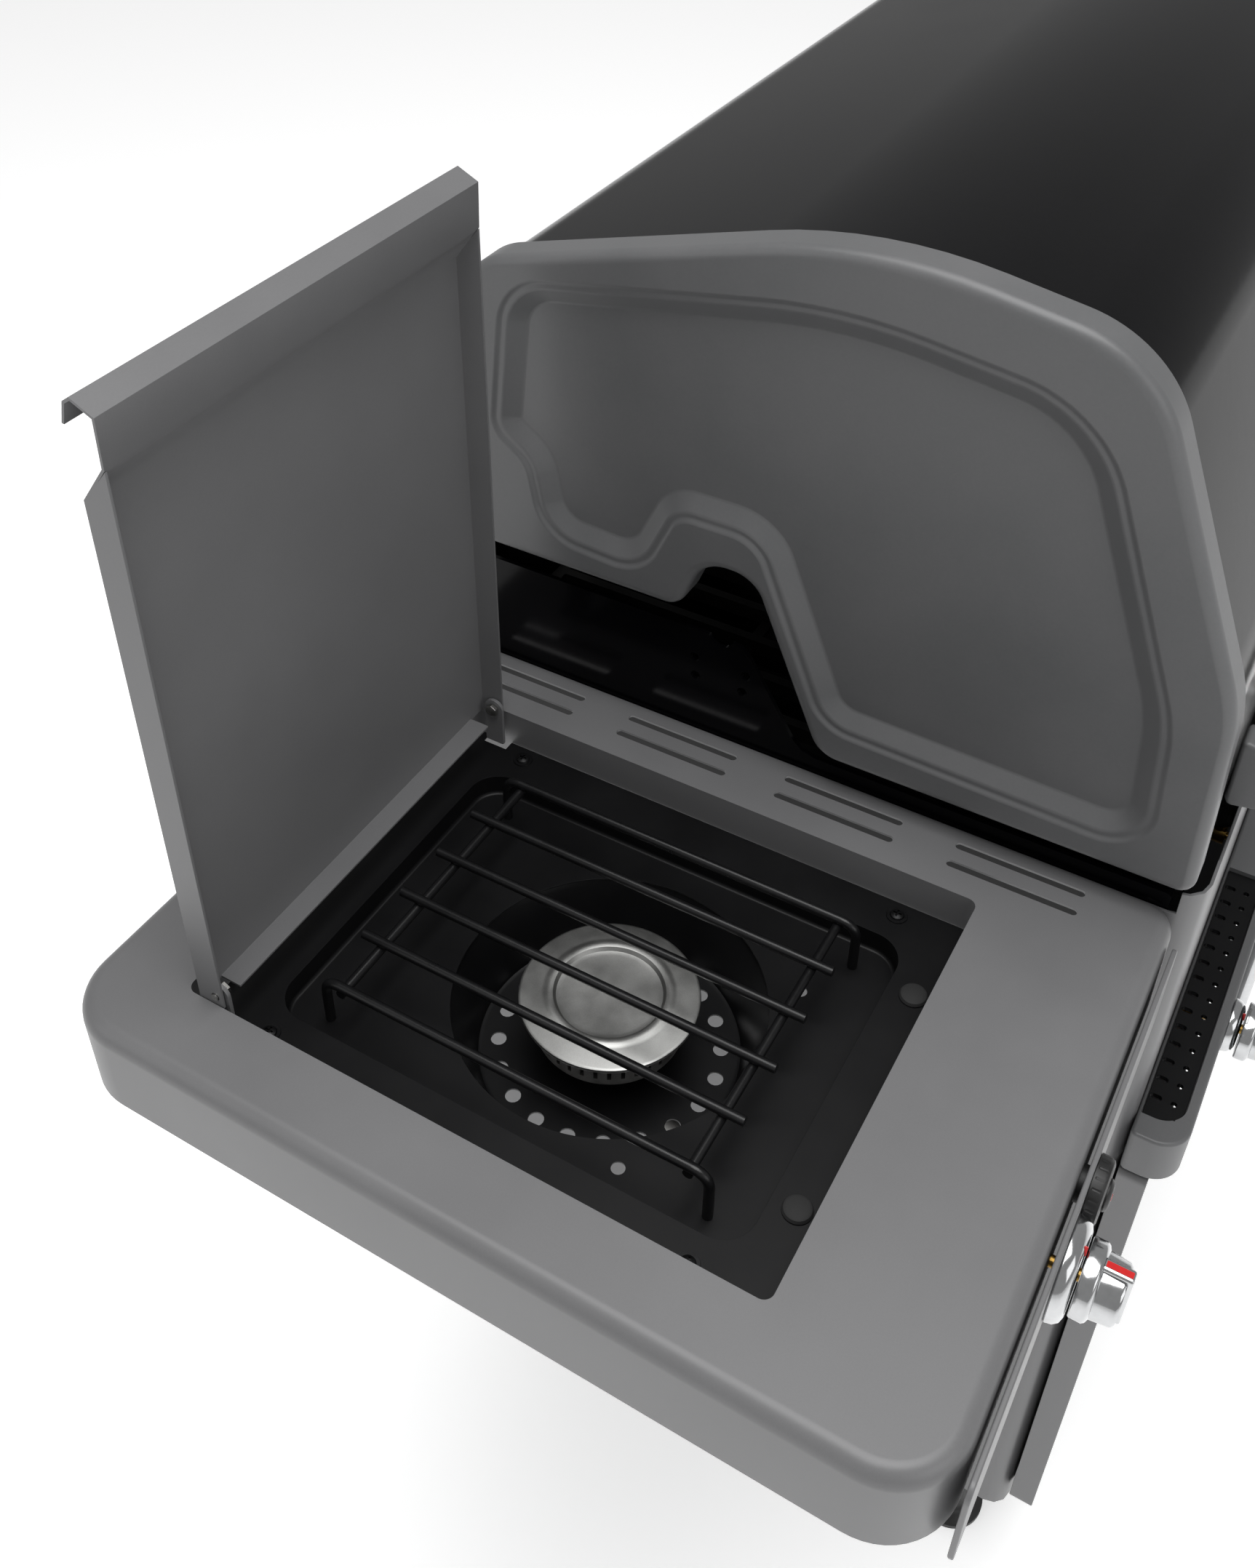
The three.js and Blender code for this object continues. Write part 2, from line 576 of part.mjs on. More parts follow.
// Side shelves
function shelfShell(reach) {
  const { skirt, edge, corner, inner, overlap, rear } = shelf;
  const plan = (margin) => outline([
    [-reach + margin, shelfFront + margin, corner - margin],
    [-shelfInner + overlap - margin, shelfFront + margin, inner - margin],
    [-shelfInner + overlap - margin, rear - margin, inner - margin],
    [-reach + margin, rear - margin, corner - margin],
  ]);
  const outer = prism("z", plan(0), -skirt - 2 * edge, 0, edge);
  const inside = prism("z", plan(sheet), -skirt - 3 * edge, -sheet, edge - sheet);
  const room = box(-reach - 1, -shelfInner, shelfFront - 1, rear + 1, -skirt, 1);
  const wall = box(
    -shelfInner - sheet, -shelfInner, shelfFront + inner, rear - inner, -skirt + 20, -sheet + 0.2);
  return joined(cut(outer, inside).intersect(room), wall);
}

function leftShelf() {
  const { flange, corner, front, rear } = opening;
  const hole = rectangle(-openingOuter, -openingInner, front, rear, corner);
  const collar = rectangle(
    -openingOuter - sheet, -openingInner + sheet, front - sheet, rear + sheet, corner + sheet);
  const vents = [];
  for (let row = 0; row < slots.rows; row += 1) {
    for (let i = 0; i < slots.count; i += 1) {
      const x = -shelfInner - slots.inset - row * slots.rowGap;
      const y = shelfFront + slots.first + i * slots.pitch;
      const half = slots.width / 2;
      const slot = rectangle(x - half, x + half, y, y + slots.length, half - 0.1);
      vents.push(prism("z", slot, -10, 1));
    }
  }
  const brackets = [-1, 1].map((side) => lidBracket(side));
  return cut(
    joined(shelfShell(leftShelfOuter), prism("z", collar, -flange, -0.5)),
    prism("z", hole, -flange - 1, 1),
    ...vents,
    rod("y", [valve.x, valve.z - shelfHeight], knob.stem + 1.5, shelfFront - 5, shelfFront + 8, 12),
    rod("y", [igniter.x, igniter.z], 12, shelfFront - 5, shelfFront + 8, 16),
  ).add(brackets[0]).add(brackets[1]);
}

// Air between the burner lid and the outer (-1) or inner (1) side of the opening.
const lidMargin = (side) => (side < 0 ? 0.6 : 2.7);

// A hinge bracket stands on the collar of the opening and reaches up inside a side flange of the burner lid.
function lidBracket(side) {
  const edge = side < 0 ? -openingOuter : -openingInner;
  const [near, far] = [0.8, 3.3].map((reach) => edge - side * (lidMargin(side) + sheet + reach));
  const { hingeY, hingeZ } = burnerLid;
  const plate = joined(
    box(Math.min(near, far), Math.max(near, far), hingeY - 7, hingeY + 7, -24, hingeZ),
    rod("x", [hingeY, hingeZ], 7, Math.min(near, far), Math.max(near, far), 16),
    box(Math.min(edge + side, far), Math.max(edge + side, far), hingeY - 7, hingeY + 7, -24, -12),
  );
  return cut(plate, rod("x", [hingeY, hingeZ], 2.4 + fit, edge - 10, edge + 10, 12));
}

const sideFascia = () => cut(
  prism("y", rectangle(-leftShelfOuter + 18, -shelfInner - 16, -76, -8, 8), fasciaFace, fasciaFace + 3),
  rod("y", [valve.x, valve.z - shelfHeight], knob.stem + 1, fasciaFace - 1, fasciaFace + 4, 12),
  rod("y", [igniter.x, igniter.z], 11, fasciaFace - 1, fasciaFace + 4, 16),
);

function igniterHousing() {
  const { x, z, radius, button } = igniter;
  const face = fasciaFace - fit;
  return cut(
    joined(
      rod("y", [x, z], radius, face - 8, face, 20),
      rod("y", [x, z], 10.5, face - 1, shelfFront + 20, 16)),
    rod("y", [x, z], button + 0.4, face - 9, shelfFront + 10, 16),
  );
}

const igniterButton = () => rod(
  "y", [igniter.x, igniter.z], igniter.button, fasciaFace - 8 - fit - igniter.travel, shelfFront + 5, 16);

// Side burner
function burnerTray() {
  const { flange, front } = opening;
  const { rear, basinWidth, basinFront, basinRear, basinDepth } = tray;
  const thin = tray.sheet;
  const rim = rectangle(-openingOuter + 0.5, -openingInner - 0.5, front + 0.5, rear, 5);
  const basin = (margin) => rectangle(
    burnerX - basinWidth / 2 - margin, burnerX + basinWidth / 2 + margin,
    basinFront - margin, basinRear - 8 + margin, 20 + margin);
  const holes = [[-95, 62], [38, 62], [-60, -94]].map(([y, x]) =>
    rod("z", [burnerX + x, burner.y + y], 4, -flange - 40, -flange, 12));
  const lidRoom = [-1, 1].map((side) => {
    const edge = side < 0 ? -openingOuter : -openingInner;
    return box(edge - 8, edge + 8, burnerLid.hingeY - 9, burnerLid.hingeY + 9, -flange - 3, 0);
  });
  return cut(
    joined(
      prism("z", rim, -flange + 0.3, -flange + 0.3 + thin),
      prism("z", basin(thin), -flange - basinDepth, -flange + 0.8)),
    prism("z", basin(0), -flange - basinDepth + thin, -flange + 5),
    rod("z", [burnerX, burner.y], bowl.radius, -flange - 40, -flange, 28),
    ...holes,
    ...lidRoom,
  );
}

function burnerBowl() {
  const { radius, ring, throat, holeCircle, hole, holes } = bowl;
  const top = -burner.depth - fit;
  const low = -burner.depth - 43;
  const thin = tray.sheet;
  const dish = turned([burnerX, burner.y], [
    [throat, low], [ring + 1, low], [radius + 1, top - thin], [radius + 8, top - thin], [radius + 8, top],
    [radius, top], [ring, low + thin], [throat, low + thin], [throat, low],
  ], 28);
  const vents = Array.from({ length: holes }, (_, i) => {
    const angle = ((i + 0.5) / holes) * 2 * Math.PI;
    const place = [burnerX + holeCircle * Math.cos(angle), burner.y + holeCircle * Math.sin(angle)];
    return rod("z", place, hole, low - 1, low + 3, 6);
  });
  return cut(dish, ...vents);
}

function burnerHead() {
  const { capDrop, head, y } = burner;
  const top = -capDrop - 5 - fit;
  const low = -120;
  const casting = turned([burnerX, y], [
    [0, low - 16], [15, low - 16], [17, low - 6], [17, top - 36], [head - 4, top - 24], [head, top - 20],
    [head, top - 6], [head - 5, top], [0, top],
  ], 20);
  const feed = bar([
    [burnerX, y, low], [burnerX - 4, y - 40, low], [burnerX - 16, y - 110, low + 10],
    [valve.x + 2, y - 180, valve.z - shelfHeight - 14],
    [valve.x, sideTube.y + 21 + fit, valve.z - shelfHeight],
  ], 9, 12, 8);
  return joined(casting, feed);
}

function burnerCap() {
  const { cap, capDrop, y } = burner;
  const top = -capDrop;
  return turned([burnerX, y], [
    [0, top - 5], [cap - 8, top - 5], [cap - 1.5, top - 4.2], [cap, top - 2.6], [cap - 1.5, top - 1],
    [38, top], [36, top + 1.2], [34, top + 1.2], [30, top - 1.6], [0, top - 1.6],
  ], 28);
}

function trivetSolid() {
  const { width, depth, bars, drop } = trivet;
  const middle = openingMiddle - 1.5;
  const [front, rear] = [middle - depth / 2, middle + depth / 2];
  const z = -drop;
  const foot = -opening.flange - tray.basinDepth + tray.sheet + fit;
  const pitch = width / (bars - 1);
  const line = (x) => [
    [x, front + wireRadius, foot], [x, front + wireRadius, z - 16], [x, front + 5, z - 5], [x, front + 11, z],
    [x, rear - 11, z], [x, rear - 5, z - 5], [x, rear - wireRadius, z - 16], [x, rear - wireRadius, foot],
  ];
  const wires = Array.from({ length: bars }, (_, i) => {
    const x = burnerX - width / 2 + i * pitch;
    const outer = i === 0 || i === bars - 1;
    return outer ? bar(line(x), wireRadius, 20, 6) : rod("y", [x, z], wireRadius, front + 1, rear - 1, 6);
  });
  const ties = [front + 15, rear - 15].map((y) =>
    rod("x", [y, z - 2 * wireRadius + 1.2], wireRadius, burnerX - width / 2 - 2, burnerX + width / 2 + 2, 6));
  return joined(ties[0], wires[0], ...wires.slice(1), ties[1]);
}

function burnerLidSolid() {
  const { back, flange, panel, slope, band, hingeY, hingeZ } = burnerLid;
  const front = back - flange;
  const [x0, x1] = [-openingOuter + lidMargin(-1), -openingInner - lidMargin(1)];
  const skin = strip([
    [back, -1], [back, panel], [front + sheet, panel + slope], [front + sheet - 0.8, panel + slope + band],
    [front + 12, panel + slope + band + 5.5], [back - 2, panel + slope + band + 3],
    [back + 1, panel + slope + band - 8],
  ], sheet);
  const cheek = new THREE.Shape([
    new THREE.Vector2(front, -1), new THREE.Vector2(back - 0.5, -1),
    new THREE.Vector2(back - 0.5, panel - 0.5), new THREE.Vector2(front, panel + slope - 1),
  ]);
  return cut(
    joined(
      prism("x", skin, x0, x1),
      prism("x", cheek, x0, x0 + sheet),
      prism("x", cheek, x1 - sheet, x1),
      box(x0 + 16, x1 - 16, front + 2, back - 0.5, -1, sheet - 1),
    ),
    rod("x", [hingeY, hingeZ], 2.4 + fit, x0 - 1, x1 + 1, 12),
  );
}

function lidPin(side) {
  const edge = side < 0 ? -openingOuter : -openingInner;
  const at = (reach) => edge - side * (lidMargin(side) + reach);
  const [start, end] = [at(-1), at(7)].sort((a, b) => a - b);
  const [head0, head1] = [at(5.1), at(8)].sort((a, b) => a - b);
  const { hingeY, hingeZ } = burnerLid;
  return joined(
    rod("x", [hingeY, hingeZ], 2.4, start, end, 12),
    rod("x", [hingeY, hingeZ], 4.6, head0, head1, 6),
  );
}

// Assembly
const wheelLine = wheel.y + wheel.width / 2;
const cart = groupOf([
  piece("base_pan", basePan(), greyPaint),
  piece("left_side_panel", sidePanel(), greyPaint),
  piece("right_side_panel", sidePanel(), greyPaint, true),
  piece(
    "back_panel", box(-halfWidth + 2.4, halfWidth - 2.4, halfDepth - 2, halfDepth, floorGap, 570),
    greyPaint),
  piece("left_door", doorPanel(), greyPaint),
  piece("right_door", doorPanel(), greyPaint, true),
  piece("left_door_handle", doorHandle(), chrome),
  piece("right_door_handle", doorHandle(), chrome, true),
  piece("axle", rod("y", [wheel.x, wheel.radius], wheel.axle, -wheelLine - 8, wheelLine + 8), stainless),
  wheelAt(-wheel.y),
  wheelAt(wheel.y),
  piece("front_foot", footAt(-wheel.y), rubber),
  piece("rear_foot", footAt(wheel.y), rubber),
  piece("ledge_frame", ledgeFrame(), greyPaint),
  piece("left_ledge_insert", ledgeInsert(), blackPlastic),
  piece("right_ledge_insert", ledgeInsert(), blackPlastic, true),
  piece("front_panel", frontPanel(), greyPaint),
  piece("gas_manifold", manifoldPipe(), stainless),
  ...[-1, 0, 1].flatMap((i) => [
    piece("main_valve_" + (i + 2), mainValve(i * knob.pitch), brass),
    piece("main_knob_" + (i + 2), mainKnob(i * knob.pitch), chrome),
  ]),
  piece("side_gas_tube", sideGasTube(), stainless),
  piece("side_valve", sideValve(), brass),
]);

const cookBox = groupOf([
  piece("firebox", fireboxSolid(), glossBlack),
  ...[-1, 0, 1].flatMap((i) => [
    piece("tube_burner_" + (i + 2), tubeBurner(i * knob.pitch), stainless),
    piece("flame_tamer_" + (i + 2), flameTamer(i * knob.pitch), blackEnamel),
  ]),
  piece("left_cooking_grate", cookingGrate(), castIron),
  piece("right_cooking_grate", cookingGrate(), castIron, true),
  piece("grease_tray", greaseTray(), aluminium),
  piece("grease_cup", greaseCup(), aluminium),
  piece("left_hinge_pin", hingePin(), stainless),
  piece("right_hinge_pin", hingePin(), stainless, true),
  piece("lid_barrel", lidBarrel(), glossBlack),
  piece("lid_left_end", lidEnd(), castGrey),
  piece("lid_right_end", lidEnd(), castGrey, true),
  piece("lid_handle_tube", handleTube(), stainless),
  piece("lid_handle_left_bracket", handleBracket(), castGrey),
  piece("lid_handle_right_bracket", handleBracket(), castGrey, true),
  piece("thermometer", thermometerSolid(), chrome),
], shelfHeight);

const sideStation = groupOf([
  piece("left_shelf", leftShelf(), greyPaint),
  piece("right_shelf", shelfShell(rightShelfOuter), greyPaint, true),
  piece("side_fascia", sideFascia(), greyPaint),
  piece("side_knob", knobSolid(valve.x, valve.z - shelfHeight, fasciaFace - fit - knob.bezelDepth), chrome),
  piece("igniter_housing", igniterHousing(), blackPlastic),
  piece("igniter_button", igniterButton(), blackPlastic),
  piece("burner_tray", burnerTray(), blackEnamel),
  piece("burner_bowl", burnerBowl(), blackEnamel),
  piece("burner_head", burnerHead(), aluminium),
  piece("burner_cap", burnerCap(), aluminium),
  piece("trivet", trivetSolid(), blackEnamel),
  piece("burner_lid", burnerLidSolid(), greyPaint),
  piece("burner_lid_left_pin", lidPin(-1), stainless),
  piece("burner_lid_right_pin", lidPin(1), stainless),
], shelfHeight);

// The middle of the overall depth, from the knobs' ends to the shelves' rear edges, lies on Y = 0.
const grill = new THREE.Group();
grill.add(cart, cookBox, sideStation);
grill.position.y = -(knobTip + shelf.rear) / 2;
export default grill;
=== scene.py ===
import json
from math import acos, ceil, cos, pi, radians, sin, tan

import bmesh
import bpy
from mathutils import Matrix, Vector

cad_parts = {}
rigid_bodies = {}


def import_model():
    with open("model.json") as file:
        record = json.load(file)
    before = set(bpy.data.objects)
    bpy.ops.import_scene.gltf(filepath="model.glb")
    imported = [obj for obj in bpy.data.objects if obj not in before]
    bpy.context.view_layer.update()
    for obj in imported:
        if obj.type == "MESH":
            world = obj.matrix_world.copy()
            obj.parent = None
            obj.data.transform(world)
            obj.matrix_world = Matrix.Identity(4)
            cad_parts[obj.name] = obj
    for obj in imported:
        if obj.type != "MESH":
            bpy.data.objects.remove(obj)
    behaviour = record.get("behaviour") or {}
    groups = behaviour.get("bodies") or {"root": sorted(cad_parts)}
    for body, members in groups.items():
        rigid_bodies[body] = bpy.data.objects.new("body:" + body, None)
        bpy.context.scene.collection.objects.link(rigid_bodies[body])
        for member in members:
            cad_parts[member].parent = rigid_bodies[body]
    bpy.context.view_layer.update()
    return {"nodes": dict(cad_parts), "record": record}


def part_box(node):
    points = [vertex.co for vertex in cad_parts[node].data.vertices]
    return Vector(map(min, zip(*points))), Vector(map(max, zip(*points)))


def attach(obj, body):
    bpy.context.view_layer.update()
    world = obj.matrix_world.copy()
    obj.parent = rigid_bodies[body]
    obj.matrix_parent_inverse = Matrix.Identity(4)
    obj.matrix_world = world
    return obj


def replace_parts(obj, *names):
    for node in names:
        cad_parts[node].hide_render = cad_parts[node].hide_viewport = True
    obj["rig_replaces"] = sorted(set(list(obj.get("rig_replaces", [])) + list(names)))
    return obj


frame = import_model()
print("frame loaded:", len(frame["nodes"]), "nodes")

mm = 0.001
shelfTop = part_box("right_shelf")[1][2]
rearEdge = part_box("right_shelf")[1][1]
bodyOf = {node: body for body, nodes in frame["record"]["behaviour"]["bodies"].items() for node in nodes}
slotOf = {entry["node"]: entry["material_slot"] for entry in frame["record"]["subparts"]}

shelfRear = 274  # from midway between the wheels back to the rear edge of the shelves

# Lists below are in millimetres: x from the middle, y from midway between the wheels, z from the shelf top
yBase = rearEdge - shelfRear * mm


def atShelf(x, y, z):
    return Vector((x * mm, yBase + y * mm, shelfTop + z * mm))


# Selecting and shaping pieces

def selectOnly(*pieces):
    if bpy.context.mode != "OBJECT":
        bpy.ops.object.mode_set(mode="OBJECT")
    bpy.ops.object.select_all(action="DESELECT")
    for piece in pieces:
        piece.select_set(True)
    if pieces:
        bpy.context.view_layer.objects.active = pieces[0]


def placeInMesh(piece):
    selectOnly(piece)
    bpy.ops.object.transform_apply(location=True, rotation=True, scale=True)


def pickEdges(piece, test):
    selectOnly(piece)
    bpy.ops.object.mode_set(mode="EDIT")
    bpy.ops.mesh.select_mode(type="EDGE")
    bpy.ops.mesh.select_all(action="DESELECT")
    mesh = bmesh.from_edit_mesh(piece.data)
    for edge in mesh.edges:
        edge.select_set(test(edge.verts[0].co, edge.verts[1].co))
    bmesh.update_edit_mesh(piece.data)


def roundedPoints(corners, step):
    points = []
    for i, (u, v, radius) in enumerate(corners):
        here = Vector((u, v))
        toBefore = (Vector(corners[i - 1][:2]) - here).normalized()
        toAfter = (Vector(corners[(i + 1) % len(corners)][:2]) - here).normalized()
        half = acos(max(-1, min(1, toBefore.dot(toAfter)))) / 2
        if radius == 0 or pi / 2 - half < 0.01:
            points.append(here)
            continue
        centre = here + (toBefore + toAfter).normalized() * radius / sin(half)
        start = here + toBefore * radius / tan(half) - centre
        end = here + toAfter * radius / tan(half) - centre
        turn = start.angle_signed(end) * -1
        steps = max(2, ceil(abs(turn) / step))
        points += [centre + Matrix.Rotation(turn * k / steps, 2) @ start for k in range(steps + 1)]
    return points


def applyModifier(piece, kind, **settings):
    selectOnly(piece)
    modifier = piece.modifiers.new(kind.title(), kind)
    for name, value in settings.items():
        setattr(modifier, name, value)
    bpy.ops.object.modifier_apply(modifier=modifier.name)


# A closed slab between two places on an axis; corners are [u, v, radius] in (y, z), (x, z) or (x, y)
def slab(name, axis, corners, start, end, roundStart=0, roundEnd=0, rounding=4, endCorners=None, step=0.13):
    points = roundedPoints(corners, step)
    selectOnly()
    bpy.ops.mesh.primitive_circle_add(vertices=len(points), radius=1, fill_type="NGON")
    piece = bpy.context.object
    piece.name = name
    put = {
        "x": lambda u, v, w: atShelf(w, u, v),
        "y": lambda u, v, w: atShelf(u, w, v),
        "z": lambda u, v, w: atShelf(u, v, w),
    }[axis]
    for vertex, point in zip(piece.data.vertices, points):
        vertex.co = put(point.x, point.y, start)
    shift = put(0, 0, end) - put(0, 0, start)
    selectOnly(piece)
    bpy.ops.object.mode_set(mode="EDIT")
    bpy.ops.mesh.select_all(action="SELECT")
    bpy.ops.mesh.extrude_region_move(TRANSFORM_OT_translate={"value": shift})
    bpy.ops.object.mode_set(mode="OBJECT")
    if endCorners:  # the far end has its own outline, so the wall slopes
        ends = roundedPoints(endCorners, step)
        starts = [put(point.x, point.y, end) for point in points]
        for vertex in piece.data.vertices[len(points):]:
            nearest = min(range(len(starts)), key=lambda i: (vertex.co - starts[i]).length_squared)
            vertex.co = put(ends[nearest].x, ends[nearest].y, end)
    selectOnly(piece)
    bpy.ops.object.mode_set(mode="EDIT")
    bpy.ops.mesh.select_all(action="SELECT")
    bpy.ops.mesh.normals_make_consistent(inside=False)
    bpy.ops.object.mode_set(mode="OBJECT")
    index = "xyz".index(axis)
    for place, size in ((put(0, 0, start)[index], roundStart), (put(0, 0, end)[index], roundEnd)):
        if size:
            pickEdges(piece, lambda a, b: abs(a[index] - place) < 1e-6 and abs(b[index] - place) < 1e-6)
            bpy.ops.mesh.bevel(offset=size * mm, segments=rounding, profile=0.5, clamp_overlap=False)
            bpy.ops.object.mode_set(mode="OBJECT")
    return piece


def rectangle(u0, u1, v0, v1, radius):
    return [[u0, v0, radius], [u1, v0, radius], [u1, v1, radius], [u0, v1, radius]]


# A piece spun about an axis through a place; the profile is a closed list of [radius, distance along]
def turnedPiece(name, axis, centre, profile, steps=72):
    selectOnly()
    bpy.ops.mesh.primitive_circle_add(vertices=len(profile), radius=1, fill_type="NOTHING")
    piece = bpy.context.object
    piece.name = name
    along = {"x": Vector((1, 0, 0)), "y": Vector((0, 1, 0)), "z": Vector((0, 0, 1))}[axis]
    out = {"x": Vector((0, 1, 0)), "y": Vector((0, 0, 1)), "z": Vector((1, 0, 0))}[axis]
    for vertex, (radius, distance) in zip(piece.data.vertices, profile):
        vertex.co = centre + out * radius * mm + along * distance * mm
    selectOnly(piece)
    bpy.ops.object.mode_set(mode="EDIT")
    bpy.ops.mesh.select_all(action="SELECT")
    bpy.ops.mesh.spin(steps=steps, angle=2 * pi, center=centre, axis=along)
    bpy.ops.mesh.select_all(action="SELECT")
    bpy.ops.mesh.remove_doubles(threshold=2e-6)
    bpy.ops.mesh.delete_loose(use_verts=True, use_edges=True, use_faces=False)
    bpy.ops.mesh.select_all(action="SELECT")
    bpy.ops.mesh.normals_make_consistent(inside=False)
    bpy.ops.object.mode_set(mode="OBJECT")
    return piece


def rodPiece(name, axis, centre, radius, start, end, edge=0.6, steps=32):
    return turnedPiece(name, axis, centre, [
        [0, start], [radius - edge, start], [radius, start + edge],
        [radius, end - edge], [radius - edge, end], [0, end],
    ], steps)


def copies(piece, shifts):
    made = [piece]
    for shift in shifts:
        selectOnly(piece)
        bpy.ops.object.duplicate(linked=False)
        twin = bpy.context.object
        twin.location = shift
        placeInMesh(twin)
        made.append(twin)
    return made


def joinedPiece(pieces):
    selectOnly(*pieces)
    if len(pieces) > 1:
        bpy.ops.object.join()
    return bpy.context.view_layer.objects.active


def combine(piece, other, operation):
    applyModifier(piece, "BOOLEAN", object=other, operation=operation, solver="EXACT")
    bpy.data.objects.remove(other)
    return piece


def cutBy(piece, *cutters):
    for cutter in cutters:
        combine(piece, cutter, "DIFFERENCE")
    return piece


def softEdges(piece, width, angle=40, segments=2):
    applyModifier(piece, "BEVEL", width=width * mm, segments=segments, limit_method="ANGLE",
                  angle_limit=radians(angle), use_clamp_overlap=True, harden_normals=False)
    return piece


# A smooth rod along a line, its corners rounded to a bend radius
def wirePiece(name, line, radius, bend=8, sides=3):
    points = [Vector(line[0])]
    for before, here, after in zip(line, line[1:], line[2:]):
        before, here, after = Vector(before), Vector(here), Vector(after)
        a = here + (before - here).normalized() * min(bend, (before - here).length / 2.1)
        b = here + (after - here).normalized() * min(bend, (after - here).length / 2.1)
        points += [a * (1 - t) ** 2 + here * 2 * t * (1 - t) + b * t * t for t in (k / 6 for k in range(7))]
    points.append(Vector(line[-1]))
    curve = bpy.data.curves.new(name, "CURVE")
    curve.dimensions = "3D"
    curve.bevel_depth = radius * mm
    curve.bevel_resolution = sides
    curve.use_fill_caps = True
    spline = curve.splines.new("POLY")
    spline.points.add(len(points) - 1)
    for target, point in zip(spline.points, points):
        target.co = (*atShelf(*point), 1)
    piece = bpy.data.objects.new(name, curve)
    bpy.context.scene.collection.objects.link(piece)
    selectOnly(piece)
    bpy.ops.object.convert(target="MESH")
    return bpy.context.object


def smoothShading(piece, angle=32):
    selectOnly(piece)
    bpy.ops.object.shade_smooth_by_angle(angle=radians(angle))
    applyModifier(piece, "WEIGHTED_NORMAL", keep_sharp=True)


def complete(piece, material, nodes, body=None, angle=32):
    nodes = [nodes] if isinstance(nodes, str) else nodes
    piece.data.materials.clear()
    piece.data.materials.append(material)
    smoothShading(piece, angle)
    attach(piece, body or bodyOf[nodes[0]])
    return piece


# Materials

def linear(hexValue):
    parts = [int(hexValue[i:i + 2], 16) / 255 for i in (1, 3, 5)]
    return (*[c / 12.92 if c <= 0.04045 else ((c + 0.055) / 1.055) ** 2.4 for c in parts], 1)


def addNode(tree, kind, inputs, **settings):
    node = tree.nodes.new(kind)
    for name, value in settings.items():
        setattr(node, name, value)
    for socket, value in inputs.items():
        if isinstance(value, bpy.types.NodeSocket):
            tree.links.new(value, node.inputs[socket])
        else:
            node.inputs[socket].default_value = value
    return node


# grain and cloud are the real sizes, in millimetres, of the fine texture and of the slow change of tone
def makeFinish(name, tone, shade, rough, metallic=0, grain=0.9, height=0.02, cloud=60, stretch=(1, 1, 1),
               coat=0, specular=0.5):
    material = bpy.data.materials.new(name)
    material.use_nodes = True
    tree = material.node_tree
    tree.nodes.clear()
    place = addNode(tree, "ShaderNodeTexCoord", {})
    lay = addNode(tree, "ShaderNodeMapping", {"Vector": place.outputs["Object"], "Scale": stretch})
    fine = addNode(tree, "ShaderNodeTexNoise", {
        "Vector": lay.outputs[0], "Scale": 1000 / grain, "Detail": 3, "Roughness": 0.6})
    slow = addNode(tree, "ShaderNodeTexNoise", {
        "Vector": place.outputs["Object"], "Scale": 1000 / cloud, "Detail": 4, "Roughness": 0.55})
    blend = addNode(tree, "ShaderNodeMath", {0: fine.outputs["Fac"], 1: 0.35}, operation="MULTIPLY")
    both = addNode(tree, "ShaderNodeMath", {
        0: slow.outputs["Fac"], 1: 0.65, 2: blend.outputs[0]}, operation="MULTIPLY_ADD")
    ramp = addNode(tree, "ShaderNodeValToRGB", {"Fac": both.outputs[0]})
    ramp.color_ramp.elements[0].position = 0.3
    ramp.color_ramp.elements[0].color = linear(shade)
    ramp.color_ramp.elements[1].position = 0.68
    ramp.color_ramp.elements[1].color = linear(tone)
    gloss = addNode(tree, "ShaderNodeMapRange", {
        "Value": both.outputs[0], "From Min": 0.3, "From Max": 0.7, "To Min": rough[0], "To Max": rough[1]})
    bump = addNode(tree, "ShaderNodeBump", {
        "Height": fine.outputs["Fac"], "Strength": 0.6, "Distance": height * mm})
    shader = addNode(tree, "ShaderNodeBsdfPrincipled", {
        "Base Color": ramp.outputs["Color"], "Metallic": metallic, "Roughness": gloss.outputs["Result"],
        "Specular IOR Level": specular, "Coat Weight": coat, "Coat Roughness": 0.08,
        "Normal": bump.outputs["Normal"]})
    addNode(tree, "ShaderNodeOutputMaterial", {"Surface": shader.outputs["BSDF"]})
    return material


# Powder coat over steel: a fine orange peel that breaks up the highlights
powderCoat = makeFinish("grey powder coated steel", "#6c6c6d", "#656566", (0.34, 0.44),
                        grain=1.1, height=0.03, cloud=90)
# The same paint over an aluminium casting: a coarser skin, and a tone set darker than the shelf's as painted
# shade
castPaintWithPaintedShade = makeFinish("grey painted aluminium casting with painted shade", "#616162", "#595a5b", (0.36, 0.48),
                       grain=1.8, height=0.05, cloud=70)
# Porcelain enamel: glass over steel, deep black, with long soft reflections
glossEnamel = makeFinish("gloss black porcelain enamel", "#08080a", "#050506", (0.12, 0.2),
                         grain=6, height=0.03, cloud=120, specular=0.09)
# Black enamel on pressed steel: semi gloss, fine grain
trayEnamel = makeFinish("black enamelled pressed steel", "#0f0f10", "#0a0a0b", (0.34, 0.46),
                        grain=0.8, height=0.02, cloud=50, specular=0.2)
# Enamelled wire: a thicker, wetter coat on round rod
wireEnamel = makeFinish("black enamelled wire", "#121213", "#0c0c0d", (0.26, 0.36),
                        grain=3, height=0.012, cloud=30, specular=0.35)
# Seasoned cast iron: matt, pitted
castIron = makeFinish("seasoned cast iron", "#1c1b1a", "#121110", (0.55, 0.72),
                      grain=1.6, height=0.12, cloud=40)
# Machined aluminium casting: bright, with a satin skin
castAluminium = makeFinish("satin aluminium casting", "#a4a4a2", "#8a8a88", (0.36, 0.48),
                           metallic=1, grain=0.7, height=0.02, cloud=18)
